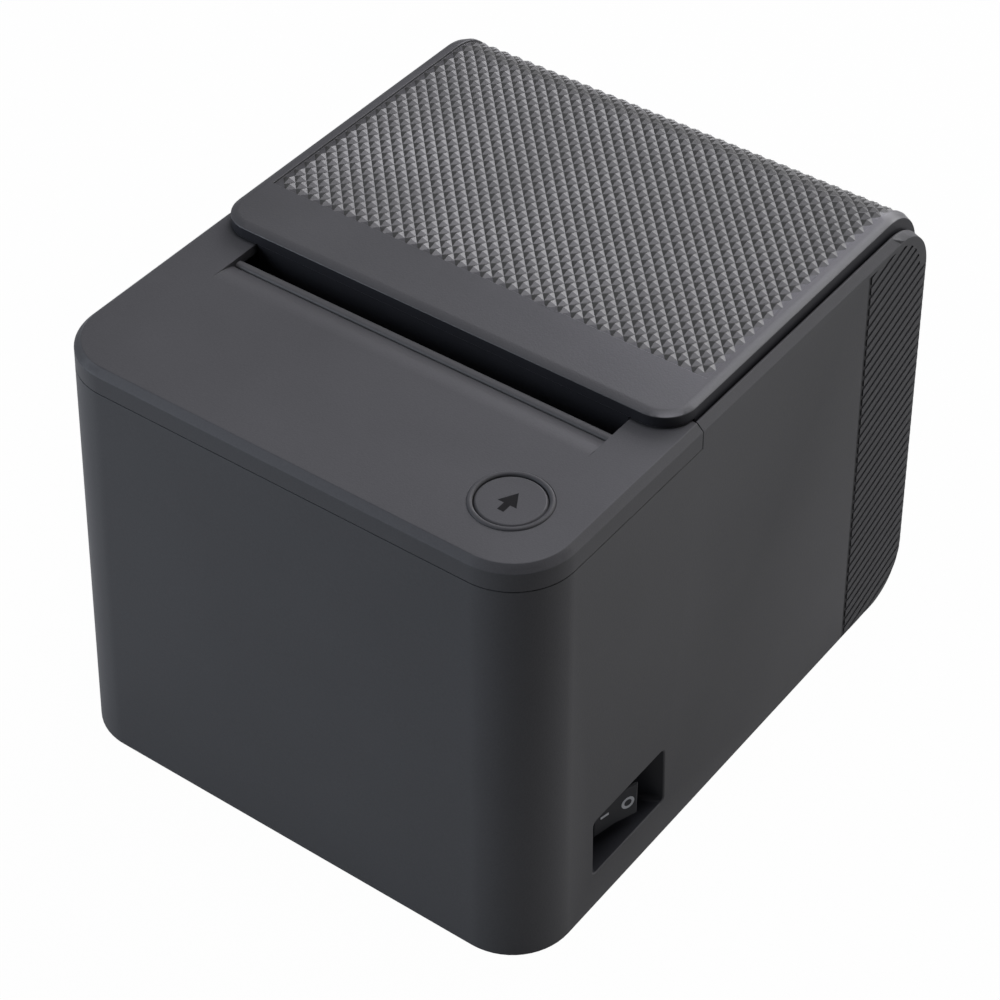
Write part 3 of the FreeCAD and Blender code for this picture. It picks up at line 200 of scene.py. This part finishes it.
# Rubber feet: four pucks of soft black rubber, pressed into shallow pockets of the base plate.
# The rubber is matt and dusty, with a slightly rough skin.
rubber_speck, given, made = new_group(
    "rubber_speck",
    [("Vector", "Vector"), ("Size", "Float")],
    [("Mask", "Float"), ("Height", "Float")])
speck = noise(rubber_speck, given.outputs["Vector"], detail=3)
rubber_speck.links.new(given.outputs["Size"], speck.inputs["Scale"])
rubber_speck.links.new(spread(rubber_speck, speck.outputs["Fac"], 0.0, 1.0), made.inputs["Mask"])
rubber_speck.links.new(speck.outputs["Fac"], made.inputs["Height"])


def rubber(name, dark, light, rough, size, depth):
    """Rubber with a dark tone and fine lighter specks. Size is how many specks there are in a metre."""
    material, tree, shader, place = bare_material(name)
    grain = tree.nodes.new("ShaderNodeGroup")
    grain.node_tree = rubber_speck
    grain.inputs["Size"].default_value = size
    tree.links.new(place, grain.inputs["Vector"])
    mix = tree.nodes.new("ShaderNodeMix")
    mix.data_type = "RGBA"
    factor, first, second = [s for s in mix.inputs if s.enabled]
    first.default_value = srgb(dark)
    second.default_value = srgb(light)
    tree.links.new(grain.outputs["Mask"], factor)
    tree.links.new([s for s in mix.outputs if s.enabled][0], shader.inputs["Base Color"])
    shader.inputs["Roughness"].default_value = rough
    bump(tree, grain.outputs["Height"], depth, shader)
    return material


foot_rubber = rubber("foot_rubber", "161617", "202021", rough=0.82, size=1500, depth=0.03 * MM)
paint(foot_rubber, "rubber_feet")

# Screws: zinc plated steel, with fine turning marks and a little dullness.
# They hold the base, the frame, the boards and the platen holder.
stain_scale = 120
stroke_tone = (0.93, 1.05)
stain_tone = (0.92, 1.04)
stain_sheen = (-0.06, 0.08)
brushed_metal, given, made = new_group(
    "brushed_metal",
    [("Vector", "Vector"), ("Colour", "Color"), ("Roughness", "Float"), ("Along", "Vector")],
    [("Colour", "Color"), ("Roughness", "Float"), ("Height", "Float")])
stretch = brushed_metal.nodes.new("ShaderNodeVectorMath")
stretch.operation = "MULTIPLY"
brushed_metal.links.new(given.outputs["Vector"], stretch.inputs[0])
brushed_metal.links.new(given.outputs["Along"], stretch.inputs[1])
strokes = noise(brushed_metal, stretch.outputs["Vector"], detail=4, scale=1.0)
stain = noise(brushed_metal, given.outputs["Vector"], detail=3, scale=stain_scale)
tint = brushed_metal.nodes.new("ShaderNodeHueSaturation")
brushed_metal.links.new(given.outputs["Colour"], tint.inputs["Color"])
stroke_value = spread(brushed_metal, strokes.outputs["Fac"], *stroke_tone)
stain_value = spread(brushed_metal, stain.outputs["Fac"], *stain_tone)
brushed_metal.links.new(maths(brushed_metal, "MULTIPLY", stroke_value, stain_value), tint.inputs["Value"])
brushed_metal.links.new(tint.outputs["Color"], made.inputs["Colour"])
stain_rough = spread(brushed_metal, stain.outputs["Fac"], *stain_sheen)
dulled = maths(brushed_metal, "ADD", given.outputs["Roughness"], stain_rough)
brushed_metal.links.new(dulled, made.inputs["Roughness"])
brushed_metal.links.new(strokes.outputs["Fac"], made.inputs["Height"])


def metal(name, colour, rough, along, depth):
    """Metal with strokes: along gives how often the strokes repeat in each direction, per metre."""
    material, tree, shader, place = bare_material(name)
    brush = tree.nodes.new("ShaderNodeGroup")
    brush.node_tree = brushed_metal
    brush.inputs["Colour"].default_value = srgb(colour)
    brush.inputs["Roughness"].default_value = rough
    brush.inputs["Along"].default_value = along
    tree.links.new(place, brush.inputs["Vector"])
    tree.links.new(brush.outputs["Colour"], shader.inputs["Base Color"])
    tree.links.new(brush.outputs["Roughness"], shader.inputs["Roughness"])
    shader.inputs["Metallic"].default_value = 1.0
    bump(tree, brush.outputs["Height"], depth, shader)
    return material


zinc_steel = metal("zinc_steel", "a9abad", rough=0.32, along=(300, 2600, 2600), depth=0.004 * MM)
paint(zinc_steel, "base_screws", "board_screws", "mechanism_screws", "holder_screws", "key_board_screws")

# Main board: green lacquered glass fibre with tracks under the lacquer, screwed to posts of the base plate.
# Chips and capacitors stand on it, and the four sockets along its back edge face the cable recess.
board_green, tree, shader, place = bare_material("board_green")
tracks = tree.nodes.new("ShaderNodeTexBrick")
tracks.inputs["Scale"].default_value = 180
tracks.inputs["Mortar Size"].default_value = 0.06
tracks.inputs["Color1"].default_value = srgb("0f4a2c")
tracks.inputs["Color2"].default_value = srgb("12573a")
tracks.inputs["Mortar"].default_value = srgb("1c7148")
tree.links.new(place, tracks.inputs["Vector"])
tree.links.new(tracks.outputs["Color"], shader.inputs["Base Color"])
shader.inputs["Roughness"].default_value = 0.3
bump(tree, tracks.outputs["Fac"], 0.02 * MM, shader)
paint(board_green, "main_board")
chip_black = moulded("chip_black", "1d1e20", rough=0.5, grain=5000, depth=0.006 * MM)
paint(chip_black, "board_parts")
black_plastic = moulded("black_plastic", "1b1c1f", rough=0.4, grain=3200, depth=0.012 * MM)
paint(black_plastic, "power_inlet", "drawer_socket")
tin_plate = metal("tin_plate", "b9b6ae", rough=0.28, along=(2400, 300, 2400), depth=0.003 * MM)
paint(tin_plate, "usb_socket", "network_socket")

# Print mechanism: a folded frame of galvanised sheet that carries motors, gears, print head and cutter.
# The head is a ceramic strip on an aluminium heat sink, pressed to the platen by two springs.
sheet_steel = metal("sheet_steel", "9a9da0", rough=0.36, along=(90, 2200, 2200), depth=0.006 * MM)
paint(sheet_steel, "mechanism_frame", "cutter_guide", "feed_motor", "cutter_motor")
turned_steel = metal("turned_steel", "b4b6b8", rough=0.22, along=(3200, 200, 200), depth=0.003 * MM)
paint(turned_steel, "head_pivot_pin", "idler_pin", "feed_motor_shaft", "cutter_shaft", "cutter_motor_shaft")
blade_steel = metal("blade_steel", "c2c4c6", rough=0.18, along=(120, 3600, 3600), depth=0.003 * MM)
paint(blade_steel, "moving_blade")
cast_aluminium = metal("cast_aluminium", "b7b9bb", rough=0.42, along=(700, 700, 700), depth=0.012 * MM)
paint(cast_aluminium, "heat_sink")
head_ceramic = moulded("head_ceramic", "7a6b58", rough=0.24, grain=4200, depth=0.003 * MM)
paint(head_ceramic, "thermal_head")
gear_white = moulded("gear_white", "d9d6cb", rough=0.42, grain=1800, depth=0.006 * MM)
paint(gear_white, "feed_pinion", "idler_gear", "blade_racks", "cutter_pinions", "cutter_gear",
      "cutter_motor_pinion")
weld_reach = 0.002 * MM
flat_turn = math.radians(0.3)
sharp_turn = math.radians(30)


def add_object(name, bm, material):
    """Makes a finished bmesh an object of the scene."""
    mesh = bpy.data.meshes.new(name)
    bm.to_mesh(mesh)
    bm.free()
    mesh.materials.append(material)
    thing = bpy.data.objects.new(name, mesh)
    bpy.context.scene.collection.objects.link(thing)
    return thing


def add_piece(name, bm, body, material):
    """Makes a finished bmesh a piece of the printer that moves with a body."""
    piece = add_object(name, bm, material)
    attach(piece, body)
    return piece


def edge_middle(edge):
    """The point halfway along an edge."""
    return (edge.verts[0].co + edge.verts[1].co) / 2


def round_edges(bm, edges, radius, segments):
    """Rounds edges of a bmesh, and gives the faces of the rounding."""
    band = bmesh.ops.bevel(bm, geom=edges, offset=radius, offset_type="OFFSET", segments=segments,
                           profile=0.5, affect="EDGES", clamp_overlap=False, material=-1)
    return band["faces"]


def dress(node, body, material, edge, rounded=None, reshape=None):
    """A copy of a CAD node with flat faces joined and sharp edges rounded, shown in the node's place."""
    bm = bmesh.new()
    bm.from_mesh(nodes[node].data)
    bmesh.ops.remove_doubles(bm, verts=bm.verts, dist=weld_reach)
    bmesh.ops.dissolve_limit(bm, angle_limit=flat_turn, verts=bm.verts, edges=bm.edges)
    if reshape:
        reshape(bm)
    sharp = [e for e in bm.edges if len(e.link_faces) == 2 and e.calc_face_angle(0) > sharp_turn]
    for e in bm.edges:
        e.smooth = True
    soft = [e for e in sharp if rounded is None or rounded(edge_middle(e))]
    for e in set(sharp) - set(soft):
        e.smooth = False
    worn = bm.verts.layers.float.new("edge")
    for face in round_edges(bm, soft, edge, segments=2):
        for vert in face.verts:
            vert[worn] = 1.0
    for face in bm.faces:
        face.smooth = True
    piece = add_piece(node + "_skin", bm, body, material)
    piece.modifiers.new("even_shading", "WEIGHTED_NORMAL").keep_sharp = True
    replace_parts(piece, node)
    return piece


springs = dress("head_springs", "case", turned_steel, edge=0.06 * MM)
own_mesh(springs)

# Paper bay: a deep trough of black ABS that the roll drops into, hung on shelves of the casing.
# Its sides carry the deck that closes the gap round the roll, and a sensor looks in through a window.
inner_plastic = moulded("inner_plastic", "232427", rough=0.5, grain=2200, depth=0.02 * MM)
paint(inner_plastic, "paper_bucket")
paint(chip_black, "paper_sensor")

# Casing: one tall moulding of dark grey ABS with leaning walls, rounded front corners and slanted ribs at
# the back of both sides. It drops over the base plate and is screwed to it from below.
case_low, case_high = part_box("main_housing")
side_lean = 2.4 * MM
side_height = 106.5 * MM
low_round = 12.0 * MM
case_edge = 0.14 * MM
side_band = 8.5 * MM
back_band = 4.0 * MM
front_band = 6.0 * MM
skin_reach = 1.0 * MM
skin_slack = 0.03 * MM
rib_front = case_high.y - 25.1 * MM
rib_slack = 0.1 * MM
rib_deep = 0.8 * MM
rib_shown = 0.3 * MM
rib_fade = 2.0 * MM
rib_end = 0.03 * MM
groove_least = 0.2 * MM
groove_most = 0.9 * MM
floor_least = 0.01 * MM
floor_most = 0.5 * MM
facing_side = 0.8
recess_front = -50.95 * MM
recess_back = -24.55 * MM
recess_low = 11.2 * MM
recess_high = 27.1 * MM
recess_floor = 55.0 * MM
recess_slack = 0.1 * MM
mouth_round = 0.32 * MM


def add_coat(piece, material, chosen):
    """Gives another material to the faces of a piece whose middle and normal are chosen."""
    coat = len(piece.data.materials)
    piece.data.materials.append(material)
    for face in piece.data.polygons:
        if chosen(face.center, face.normal):
            face.material_index = coat


def under_skin(point):
    """How far a point lies inside the leaning outer face of the nearer side."""
    leaned = side_lean * (point.z - case_low.z) / side_height
    return case_high.x - leaned - abs(point.x)


def from_rim(point):
    """How far a point of a side lies from the casing's back and bottom edges."""
    back = case_high.y - point.y
    up = point.z - case_low.z
    if back < low_round and up < low_round:
        return low_round - math.hypot(low_round - back, low_round - up)
    return min(back, up)


def in_recess(point, spare):
    """Whether a point of the right side lies in the switch's recess, or within a margin round it."""
    along = recess_front - spare < point.y < recess_back + spare
    upward = recess_low - spare < point.z < recess_high + spare
    return along and upward and point.x > recess_floor - recess_slack


def fade_grooves(bm):
    """Makes the grooves between the ribs shallow, and lets them run out before the back and low edges."""
    bend = Vector((0, case_high.y - low_round, case_low.z + low_round))
    for lean in (0, 30, 60, 90):
        angle = math.radians(lean)
        outward = Vector((0, math.cos(angle), -math.sin(angle)))
        middles = [(f, f.calc_center_median()) for f in bm.faces]
        skin = [f for f, middle in middles if middle.y > rib_front and abs(under_skin(middle)) < skin_reach]
        around = {v for f in skin for v in f.verts} | {e for f in skin for e in f.edges}
        fade_line = bend + outward * (low_round - rib_fade)
        bmesh.ops.bisect_plane(bm, geom=list(around) + skin, plane_co=fade_line, plane_no=outward)
    for vert in bm.verts:
        depth = under_skin(vert.co)
        if vert.co.y > rib_front - rib_slack and groove_least < depth < groove_most:
            shown = max(rib_end, rib_shown * min(1.0, from_rim(vert.co) / rib_fade))
            vert.co.x += math.copysign(depth - shown, vert.co.x)


def on_mouth(point):
    """Whether a point lies where the switch's recess meets the outer face of the side."""
    return in_recess(point, recess_slack) and abs(under_skin(point)) < skin_slack


def shape_case(bm):
    """Fades the grooves and rounds the mouth of the switch's recess."""
    fade_grooves(bm)
    mouth = [e for e in bm.edges if on_mouth(edge_middle(e))]
    round_edges(bm, mouth, mouth_round, segments=4)


def on_case_outside(point):
    """Edges at the ends and sides of the moulding, apart from its ribs: the bosses inside stay sharp."""
    near_side = abs(point.x) > case_high.x - side_band
    near_end = point.y > case_high.y - back_band or point.y < case_low.y + front_band
    ribbed = point.y > rib_front - 2 * rib_slack and under_skin(point) < rib_deep
    return not ribbed and (near_side or near_end)


def inside_recess(middle, normal):
    """The faces of the switch's recess behind its rounded mouth."""
    return in_recess(middle, 0) and under_skin(middle) > mouth_round


def on_groove_floor(middle, normal):
    """The faces at the bottom of the grooves, which look sideways and lie a little under the skin."""
    sunk = floor_least < under_skin(middle) < floor_most
    return sunk and middle.y > rib_front and abs(normal.x) > facing_side


housing = dress("main_housing", "case", case_plastic, case_edge, rounded=on_case_outside,
                reshape=shape_case)
# The faces inside the switch's recess get a near-black colour: painted shade in the recess.
recess_painted_shade = moulded("recess_painted_shade", "1f2024", rough=0.5, grain=2600, depth=0.02 * MM, gloss=0.2)
add_coat(housing, recess_painted_shade, inside_recess)
# The floors of the grooves between the ribs get a darker colour: painted shade in the grooves.
groove_painted_shade = moulded("groove_painted_shade", "3a3a3b", rough=0.6, grain=2600, depth=0.01 * MM, gloss=0.15)
add_coat(housing, groove_painted_shade, on_groove_floor)

# Top fascia: a shallow cover round the paper slot, moulded in the casing's plastic. A rim under it plugs into
# the casing's walls, and its top is chamfered round the outside and rolls down into the slot.
fascia_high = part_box("top_fascia")[1]
seam_edge = fascia_high.z - 5.6 * MM
seam_fill = 0.2 * MM
seam_slack = 0.02 * MM


def close_seam(bm):
    """Brings the fascia's visible edges nearer to the casing, so that the parting line is fine."""
    for vert in bm.verts:
        if abs(vert.co.z - seam_edge) < seam_slack:
            vert.co.z -= seam_fill
        if vert.co.y > fascia_high.y - seam_slack:
            vert.co.y += seam_fill


dress("top_fascia", "case", case_plastic, edge=0.16 * MM, reshape=close_seam)

# Tear bar: a round-topped strip along the front of the slot, standing on the cutter guide behind the fascia.
# It is moulded in a slightly lighter, smoother plastic than the casing, and paper is torn off against it.
bar_low, bar_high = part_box("tear_bar")
bar_fill = 0.22 * MM


def widen_bar(bm):
    """Brings the front of the bar nearer to the fascia."""
    wide = bar_high.y - bar_low.y
    for vert in bm.verts:
        vert.co.y -= bar_fill * (bar_high.y - vert.co.y) / wide


bar_plastic = moulded("bar_plastic", "4e4e4e", rough=0.5, grain=2600, depth=0.01 * MM, gloss=0.25)
dress("tear_bar", "case", bar_plastic, edge=0.2 * MM, reshape=widen_bar)

# Feed key: a round key in a raised ring, both of moulded grey plastic. It presses a small switch on a board
# screwed under the fascia. The ring has a rounded crown, and a plain arrow is printed on the key.
paint(board_green, "key_board")
paint(chip_black, "tact_switch")
paint(gear_white, "tact_plunger")
ring_low, ring_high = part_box("key_ring")
ring_middle = (ring_low + ring_high) / 2
ring_outer = 8.55 * MM
ring_width = 1.2 * MM
ring_round = 0.55 * MM


def flat_rectangle(width, height):
    """A new bmesh with one flat face of that size round the origin."""
    bm = bmesh.new()
    bmesh.ops.create_grid(bm, x_segments=1, y_segments=1, size=0.5)
    bmesh.ops.scale(bm, verts=bm.verts, vec=(width, height, 1))
    return bm


def turn_all(bm, angle, axis):
    """Turns a whole bmesh about an axis through the origin."""
    bmesh.ops.rotate(bm, verts=bm.verts, cent=(0, 0, 0), matrix=Matrix.Rotation(angle, 3, axis))


bm = flat_rectangle(ring_width, ring_high.z - ring_low.z)
turn_all(bm, math.pi / 2, "X")
bmesh.ops.bevel(bm, geom=[v for v in bm.verts if v.co.z > 0], offset=ring_round, segments=6, profile=0.5,
                affect="VERTICES", material=-1)
bmesh.ops.translate(bm, verts=bm.verts, vec=ring_middle + Vector((ring_outer - ring_width / 2, 0, 0)))
bmesh.ops.delete(bm, geom=bm.faces[:], context="FACES_ONLY")
bmesh.ops.spin(bm, geom=bm.verts[:] + bm.edges[:], cent=ring_middle, axis=(0, 0, 1), angle=2 * math.pi,
               steps=96, use_merge=True)
bmesh.ops.recalc_face_normals(bm, faces=bm.faces)
for face in bm.faces:
    face.smooth = True
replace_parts(add_piece("key_ring_skin", bm, "case", case_plastic), "key_ring")

key_low, key_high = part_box("feed_key")
key_middle = (key_low + key_high) / 2
key_radius = 7.0 * MM
key_shown = 7.2 * MM
key_slack = 0.5 * MM


def widen_key(bm):
    """Narrows the dark gap between the key's cap and its ring."""
    for vert in bm.verts:
        out = (vert.co - key_middle).xy
        if abs(out.length - key_radius) < key_slack:
            vert.co.xy = key_middle.xy + out * key_shown / key_radius


key_plastic = moulded("key_plastic", "464647", rough=0.5, grain=2600, depth=0.02 * MM, gloss=0.2)
dress("feed_key", "key", key_plastic, edge=0.14 * MM, reshape=widen_key)
arrow_long = 6.0 * MM
arrow_wide = 4.4 * MM
arrow_stem = 1.5 * MM
arrow_head = arrow_wide * math.sqrt(3) / 2
ink_thick = 0.02 * MM


def verts_of(geometry):
    """The vertices among the elements that an operator gives back."""
    return [part for part in geometry if isinstance(part, bmesh.types.BMVert)]


def thicken(bm):
    """Gives a flat mark the thickness of printed ink."""
    crown = bmesh.ops.extrude_face_region(bm, geom=bm.faces[:])["geom"]
    bmesh.ops.translate(bm, verts=verts_of(crown), vec=(0, 0, ink_thick))


bm = bmesh.new()
bmesh.ops.create_circle(bm, cap_ends=True, segments=3, radius=arrow_wide / math.sqrt(3))
base = [e for e in bm.edges if max(v.co.y for v in e.verts) < 0]
bmesh.ops.subdivide_edges(bm, edges=base, cuts=2)
# The middle third of the triangle's base is brought to the width of the stem, which grows from it.
root = [v for v in bm.verts if v.co.y < 0 and abs(v.co.x) < arrow_wide / 4]
bmesh.ops.scale(bm, verts=root, vec=(3 * arrow_stem / arrow_wide, 1, 1))
foot = [e for e in bm.edges if e.verts[0] in root and e.verts[1] in root]
stem = bmesh.ops.extrude_edge_only(bm, edges=foot)["geom"]
bmesh.ops.translate(bm, verts=verts_of(stem), vec=(0, arrow_head - arrow_long, 0))
thicken(bm)
bmesh.ops.translate(bm, verts=bm.verts, vec=(key_middle.x, key_middle.y, key_high.z))
bmesh.ops.recalc_face_normals(bm, faces=bm.faces)
key_ink = moulded("key_ink", "131314", rough=0.6, grain=3000, depth=0.004 * MM, gloss=0.1)
add_piece("key_arrow", bm, "key", key_ink)

# Power switch: a black plastic rocker in a small frame, pushed into a recess of the casing's right side.
# A plain ring and a bar are printed in white on the rocker, and its tin plated tags stand inside the casing.
paint(tin_plate, "switch_terminals")
dress("switch_body", "case", black_plastic, edge=0.12 * MM)
rocker_plastic = moulded("rocker_plastic", "15161a", rough=0.5, grain=3200, depth=0.012 * MM, gloss=0.2)
dress("rocker", "rocker", rocker_plastic, edge=0.15 * MM)
rocker_pivot = Vector([j for j in frame["joints"] if j["name"] == "rocker_tip"][0]["pos_m"])
rocker_rise = 4.3 * MM
rocker_hollow = 0.4 * MM
rocker_half = 6.1 * MM
rocker_tilt = math.radians(-16)
mark_out = 1.65 * MM
mark_in = 0.95 * MM
mark_length = 2.3 * MM
mark_width = 0.65 * MM
mark_lift = 0.01 * MM
ring_place = 3.4 * MM
bar_place = -2.9 * MM
mark_white = moulded("mark_white", "b2b4b6", rough=0.5, grain=3000, depth=0.004 * MM)


def mark_on_rocker(name, bm, place):
    """Lays a flat mark on the hollow face of the rocker, at a place along it from the pivot."""
    slope = math.copysign(math.atan2(rocker_hollow, rocker_half), place)
    rise = rocker_rise + rocker_hollow * abs(place) / rocker_half + mark_lift
    thicken(bm)
    turn_all(bm, math.pi / 2, "Y")
    turn_all(bm, -slope, "Z")
    bmesh.ops.translate(bm, verts=bm.verts, vec=(rise, place, 0))
    turn_all(bm, rocker_tilt, "Z")
    bmesh.ops.translate(bm, verts=bm.verts, vec=rocker_pivot)
    bmesh.ops.recalc_face_normals(bm, faces=bm.faces)
    add_piece(name, bm, "rocker", mark_white)


bm = bmesh.new()
for radius in (mark_out, mark_in):
    bmesh.ops.create_circle(bm, segments=48, radius=radius)
bmesh.ops.bridge_loops(bm, edges=bm.edges[:])
mark_on_rocker("rocker_ring", bm, ring_place)
mark_on_rocker("rocker_bar", flat_rectangle(mark_width, mark_length), bar_place)

# Lid: a thin shell of smooth grey plastic over the paper bay, hinged at the back on a steel pin. It has a
# sunk field of small pyramids on top. Its upright edge is darker, as painted shade, and dark blocks inside
# each end of its roll stand for the shade in the gap there, also painted shade.
# The platen's holder and the fixed blade hang under its front edge.
paint(turned_steel, "hinge_pin")
paint(inner_plastic, "platen_holder")
paint(blade_steel, "fixed_blade")
lid_low, lid_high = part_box("paper_cover")
lid_corner = 9.0 * MM
upright_most = 0.3
sideways_least = 0.4


def on_lid_edge(middle, normal):
    """The upright faces round the outside of the lid: its sides, its front and the corners between them."""
    upright = abs(normal.z) < upright_most
    outward = middle.x * normal.x > 0 and abs(normal.x) > sideways_least
    side = outward and abs(middle.x) > lid_high.x - lid_corner
    front = normal.y < 0 and middle.y < lid_low.y + lid_corner
    return upright and (side or front)


lid_plastic = moulded("lid_plastic", "444445", rough=0.4, grain=2600, depth=0.02 * MM, gloss=0.4)
lid = dress("paper_cover", "cover", lid_plastic, edge=0.12 * MM)
# The lid's upright outer faces get a darker colour as painted shade, where its sides and front stand in
# shadow.
lid_side_painted_shade = moulded("lid_side_painted_shade", "28282b", rough=0.5, grain=2600, depth=0.02 * MM, gloss=0.15)
add_coat(lid, lid_side_painted_shade, on_lid_edge)

roll_radius = 13.85 * MM
roll_start = lid_high.y - roll_radius
roll_covered = 0.94
field_half = lid_high.x - 2.75 * MM
field_front = -5.0 * MM
field_depth = 0.6 * MM
field_length = roll_start + roll_radius * math.pi / 2 * roll_covered - field_front
field_slack = 0.01 * MM
field_floor = lid_high.z - field_depth
skirt_deep = 0.3 * MM
cells_half = 17
cell_x = field_half / cells_half
cell_y = 3.544 * MM
cells = 80


def in_field(face):
    """Whether a whole cell lies within the sunk field."""
    inside = all(abs(v.co.x) < field_half + field_slack for v in face.verts)
    along = [v.co.y - field_front for v in face.verts]
    return inside and min(along) > -field_slack and max(along) < field_length


def roll_back(vert):
    """Bends a point that lies past the start of the lid's roll round the roll."""
    past = vert.co.y - roll_start
    if past > 0:
        radius = roll_radius + vert.co.z - lid_high.z
        angle = past / roll_radius
        vert.co.y = roll_start + radius * math.sin(angle)
        vert.co.z = lid_high.z - roll_radius + radius * math.cos(angle)


bm = bmesh.new()
bmesh.ops.create_grid(bm, x_segments=cells, y_segments=cells, size=cells / 2)
turn_all(bm, math.pi / 4, "Z")
bmesh.ops.scale(bm, verts=bm.verts, vec=(cell_x / math.sqrt(2), cell_y / math.sqrt(2), 1))
bmesh.ops.translate(bm, verts=bm.verts, vec=(0, field_front + cells / 4 * cell_y, field_floor))
bmesh.ops.delete(bm, geom=[f for f in bm.faces if not in_field(f)], context="FACES")
bmesh.ops.poke(bm, faces=bm.faces, offset=field_depth, use_relative_offset=False)
skirt = bmesh.ops.extrude_edge_only(bm, edges=[e for e in bm.edges if e.is_boundary])["geom"]
for vert in verts_of(skirt):
    vert.co.z = field_floor - skirt_deep
for vert in bm.verts:
    roll_back(vert)
bmesh.ops.recalc_face_normals(bm, faces=bm.faces)
pyramid_plastic = moulded("pyramid_plastic", "424240", rough=0.36, grain=2600, depth=0.01 * MM, gloss=0.4)
add_piece("lid_pyramids", bm, "cover", pyramid_plastic)

# Dark blocks inside each end of the lid's roll: painted shade, black pieces put where the gap between lid and
# casing shows only shade.
shade_block_long = 11.0 * MM
shade_block_high = 5.6 * MM
shade_block_thick = 1.2 * MM
shade_block_inset = 1.0 * MM
shade_block_drop = 7.0 * MM
bm = bmesh.new()
for side in (1, -1):
    strip = bmesh.ops.create_cube(bm, size=1)["verts"]
    bmesh.ops.scale(bm, verts=strip, vec=(shade_block_thick, shade_block_long, shade_block_high))
    place = (side * (lid_high.x - shade_block_inset), roll_start, lid_high.z - shade_block_drop)
    bmesh.ops.translate(bm, verts=strip, vec=place)
add_piece("lid_roll_shade_blocks", bm, "cover", black_plastic)

# Platen: a rubber sleeve on a steel shaft with a gear, held by bronze bushes in the holder under the lid.
# The rubber is ground, so it is matt with a fine grain.
paint(turned_steel, "platen_shaft")
paint(gear_white, "platen_gear")
platen_rubber = rubber("platen_rubber", "1e1f21", "2a2b2d", rough=0.7, size=2600, depth=0.012 * MM)
paint(platen_rubber, "platen_roller")
bronze = metal("bronze", "9a7a4a", rough=0.34, along=(1800, 400, 400), depth=0.004 * MM)
paint(bronze, "platen_bushes")

# Table, light and camera: a pale floor, soft boxes behind, above, at the right and at the front left, and
# the photograph's viewpoint. The floor and the world look white to the camera, and dim in reflections.
floor_size = 8.0
floor_tone = 0.42
floor_shown = 0.985
glossy_share = 0.25


def show_white(tree, plain, white, output, share=1.0):
    """Shows the camera a white shader in place of the plain one, and glossy reflections a part of it."""
    seen = tree.nodes.new("ShaderNodeLightPath")
    looks = maths(tree, "MAXIMUM", seen.outputs["Is Camera Ray"], seen.outputs["Is Transmission Ray"])
    glints = maths(tree, "MULTIPLY", seen.outputs["Is Glossy Ray"], glossy_share)
    shown = maths(tree, "MULTIPLY", maths(tree, "MAXIMUM", looks, glints), share)
    blend = tree.nodes.new("ShaderNodeMixShader")
    tree.links.new(shown, blend.inputs["Fac"])
    tree.links.new(plain, blend.inputs[1])
    tree.links.new(white, blend.inputs[2])
    tree.links.new(blend.outputs["Shader"], output)


table_white, tree, shader = bare_material("table_white")[:3]
shader.inputs["Base Color"].default_value = (floor_tone, floor_tone, floor_tone, 1)
shader.inputs["Roughness"].default_value = 0.9
glow = tree.nodes.new("ShaderNodeEmission").outputs["Emission"]
show_white(tree, shader.outputs["BSDF"], glow, tree.nodes["Material Output"].inputs["Surface"], floor_shown)
table = add_object("table", flat_rectangle(floor_size, floor_size), table_white)

world = bpy.data.worlds.new("studio")
bpy.context.scene.world = world
world.use_nodes = True
tree = world.node_tree
sky = tree.nodes["Background"]
sky.inputs["Color"].default_value = (0.9, 0.93, 1.0, 1)
sky.inputs["Strength"].default_value = 0.04
backdrop = tree.nodes.new("ShaderNodeBackground")
backdrop.inputs["Strength"].default_value = 1.0
show_white(tree, sky.outputs["Background"], backdrop.outputs["Background"],
           tree.nodes["World Output"].inputs["Surface"])

light_aim = Vector((0, 0, 0.06))
plain_white = (1.0, 1.0, 1.0)
pale_white = (1.0, 0.995, 1.03)
high_white = (1.0, 0.98, 1.08)
cool_white = (1.0, 0.965, 1.12)
window_blue = (0.9, 0.985, 1.13)


def soft_box(name, place, width, height, power, tint):
    """A rectangular lamp that faces the printer. Power is in watts."""
    light = bpy.data.lights.new(name, "AREA")
    light.shape = "RECTANGLE"
    light.size = width
    light.size_y = height
    light.energy = power
    light.color = tint
    lamp = bpy.data.objects.new(name, light)
    lamp.location = place
    lamp.rotation_euler = (light_aim - Vector(place)).to_track_quat("-Z", "Y").to_euler()
    bpy.context.scene.collection.objects.link(lamp)


soft_box("back_box", (0.12, 0.85, 0.62), width=0.7, height=0.5, power=3.6, tint=pale_white)
soft_box("back_low_box", (0.0, 0.95, 0.4), width=0.8, height=0.4, power=3.0, tint=pale_white)
soft_box("back_high_box", (0.1, 0.6, 1.0), width=0.6, height=0.5, power=1.7, tint=pale_white)
soft_box("back_left_box", (-0.25, 0.8, 0.6), width=0.4, height=0.5, power=1.4, tint=cool_white)
soft_box("overhead_box", (0.1, 0.08, 1.0), width=0.4, height=0.4, power=3.4, tint=high_white)
soft_box("right_box", (0.52, 0.42, 0.17), width=0.3, height=0.3, power=1.0, tint=plain_white)
soft_box("front_left_box", (-0.8, -0.8, 0.35), width=0.8, height=0.8, power=7.9, tint=window_blue)
bpy.context.scene.view_settings.view_transform = "Standard"

camera_down = math.radians(41.273)
camera_turn = math.radians(36.34)
lens = bpy.data.cameras.new("camera")
lens.lens = 105.74
lens.sensor_width = 36
lens.sensor_fit = "HORIZONTAL"
lens.shift_x = 0.0005
lens.shift_y = -0.0317
camera = bpy.data.objects.new("camera", lens)
camera.location = (0.2870, -0.3887, 0.4799)
camera.rotation_euler = (math.pi / 2 - camera_down, 0, camera_turn)
bpy.context.scene.collection.objects.link(camera)
bpy.context.scene.camera = camera
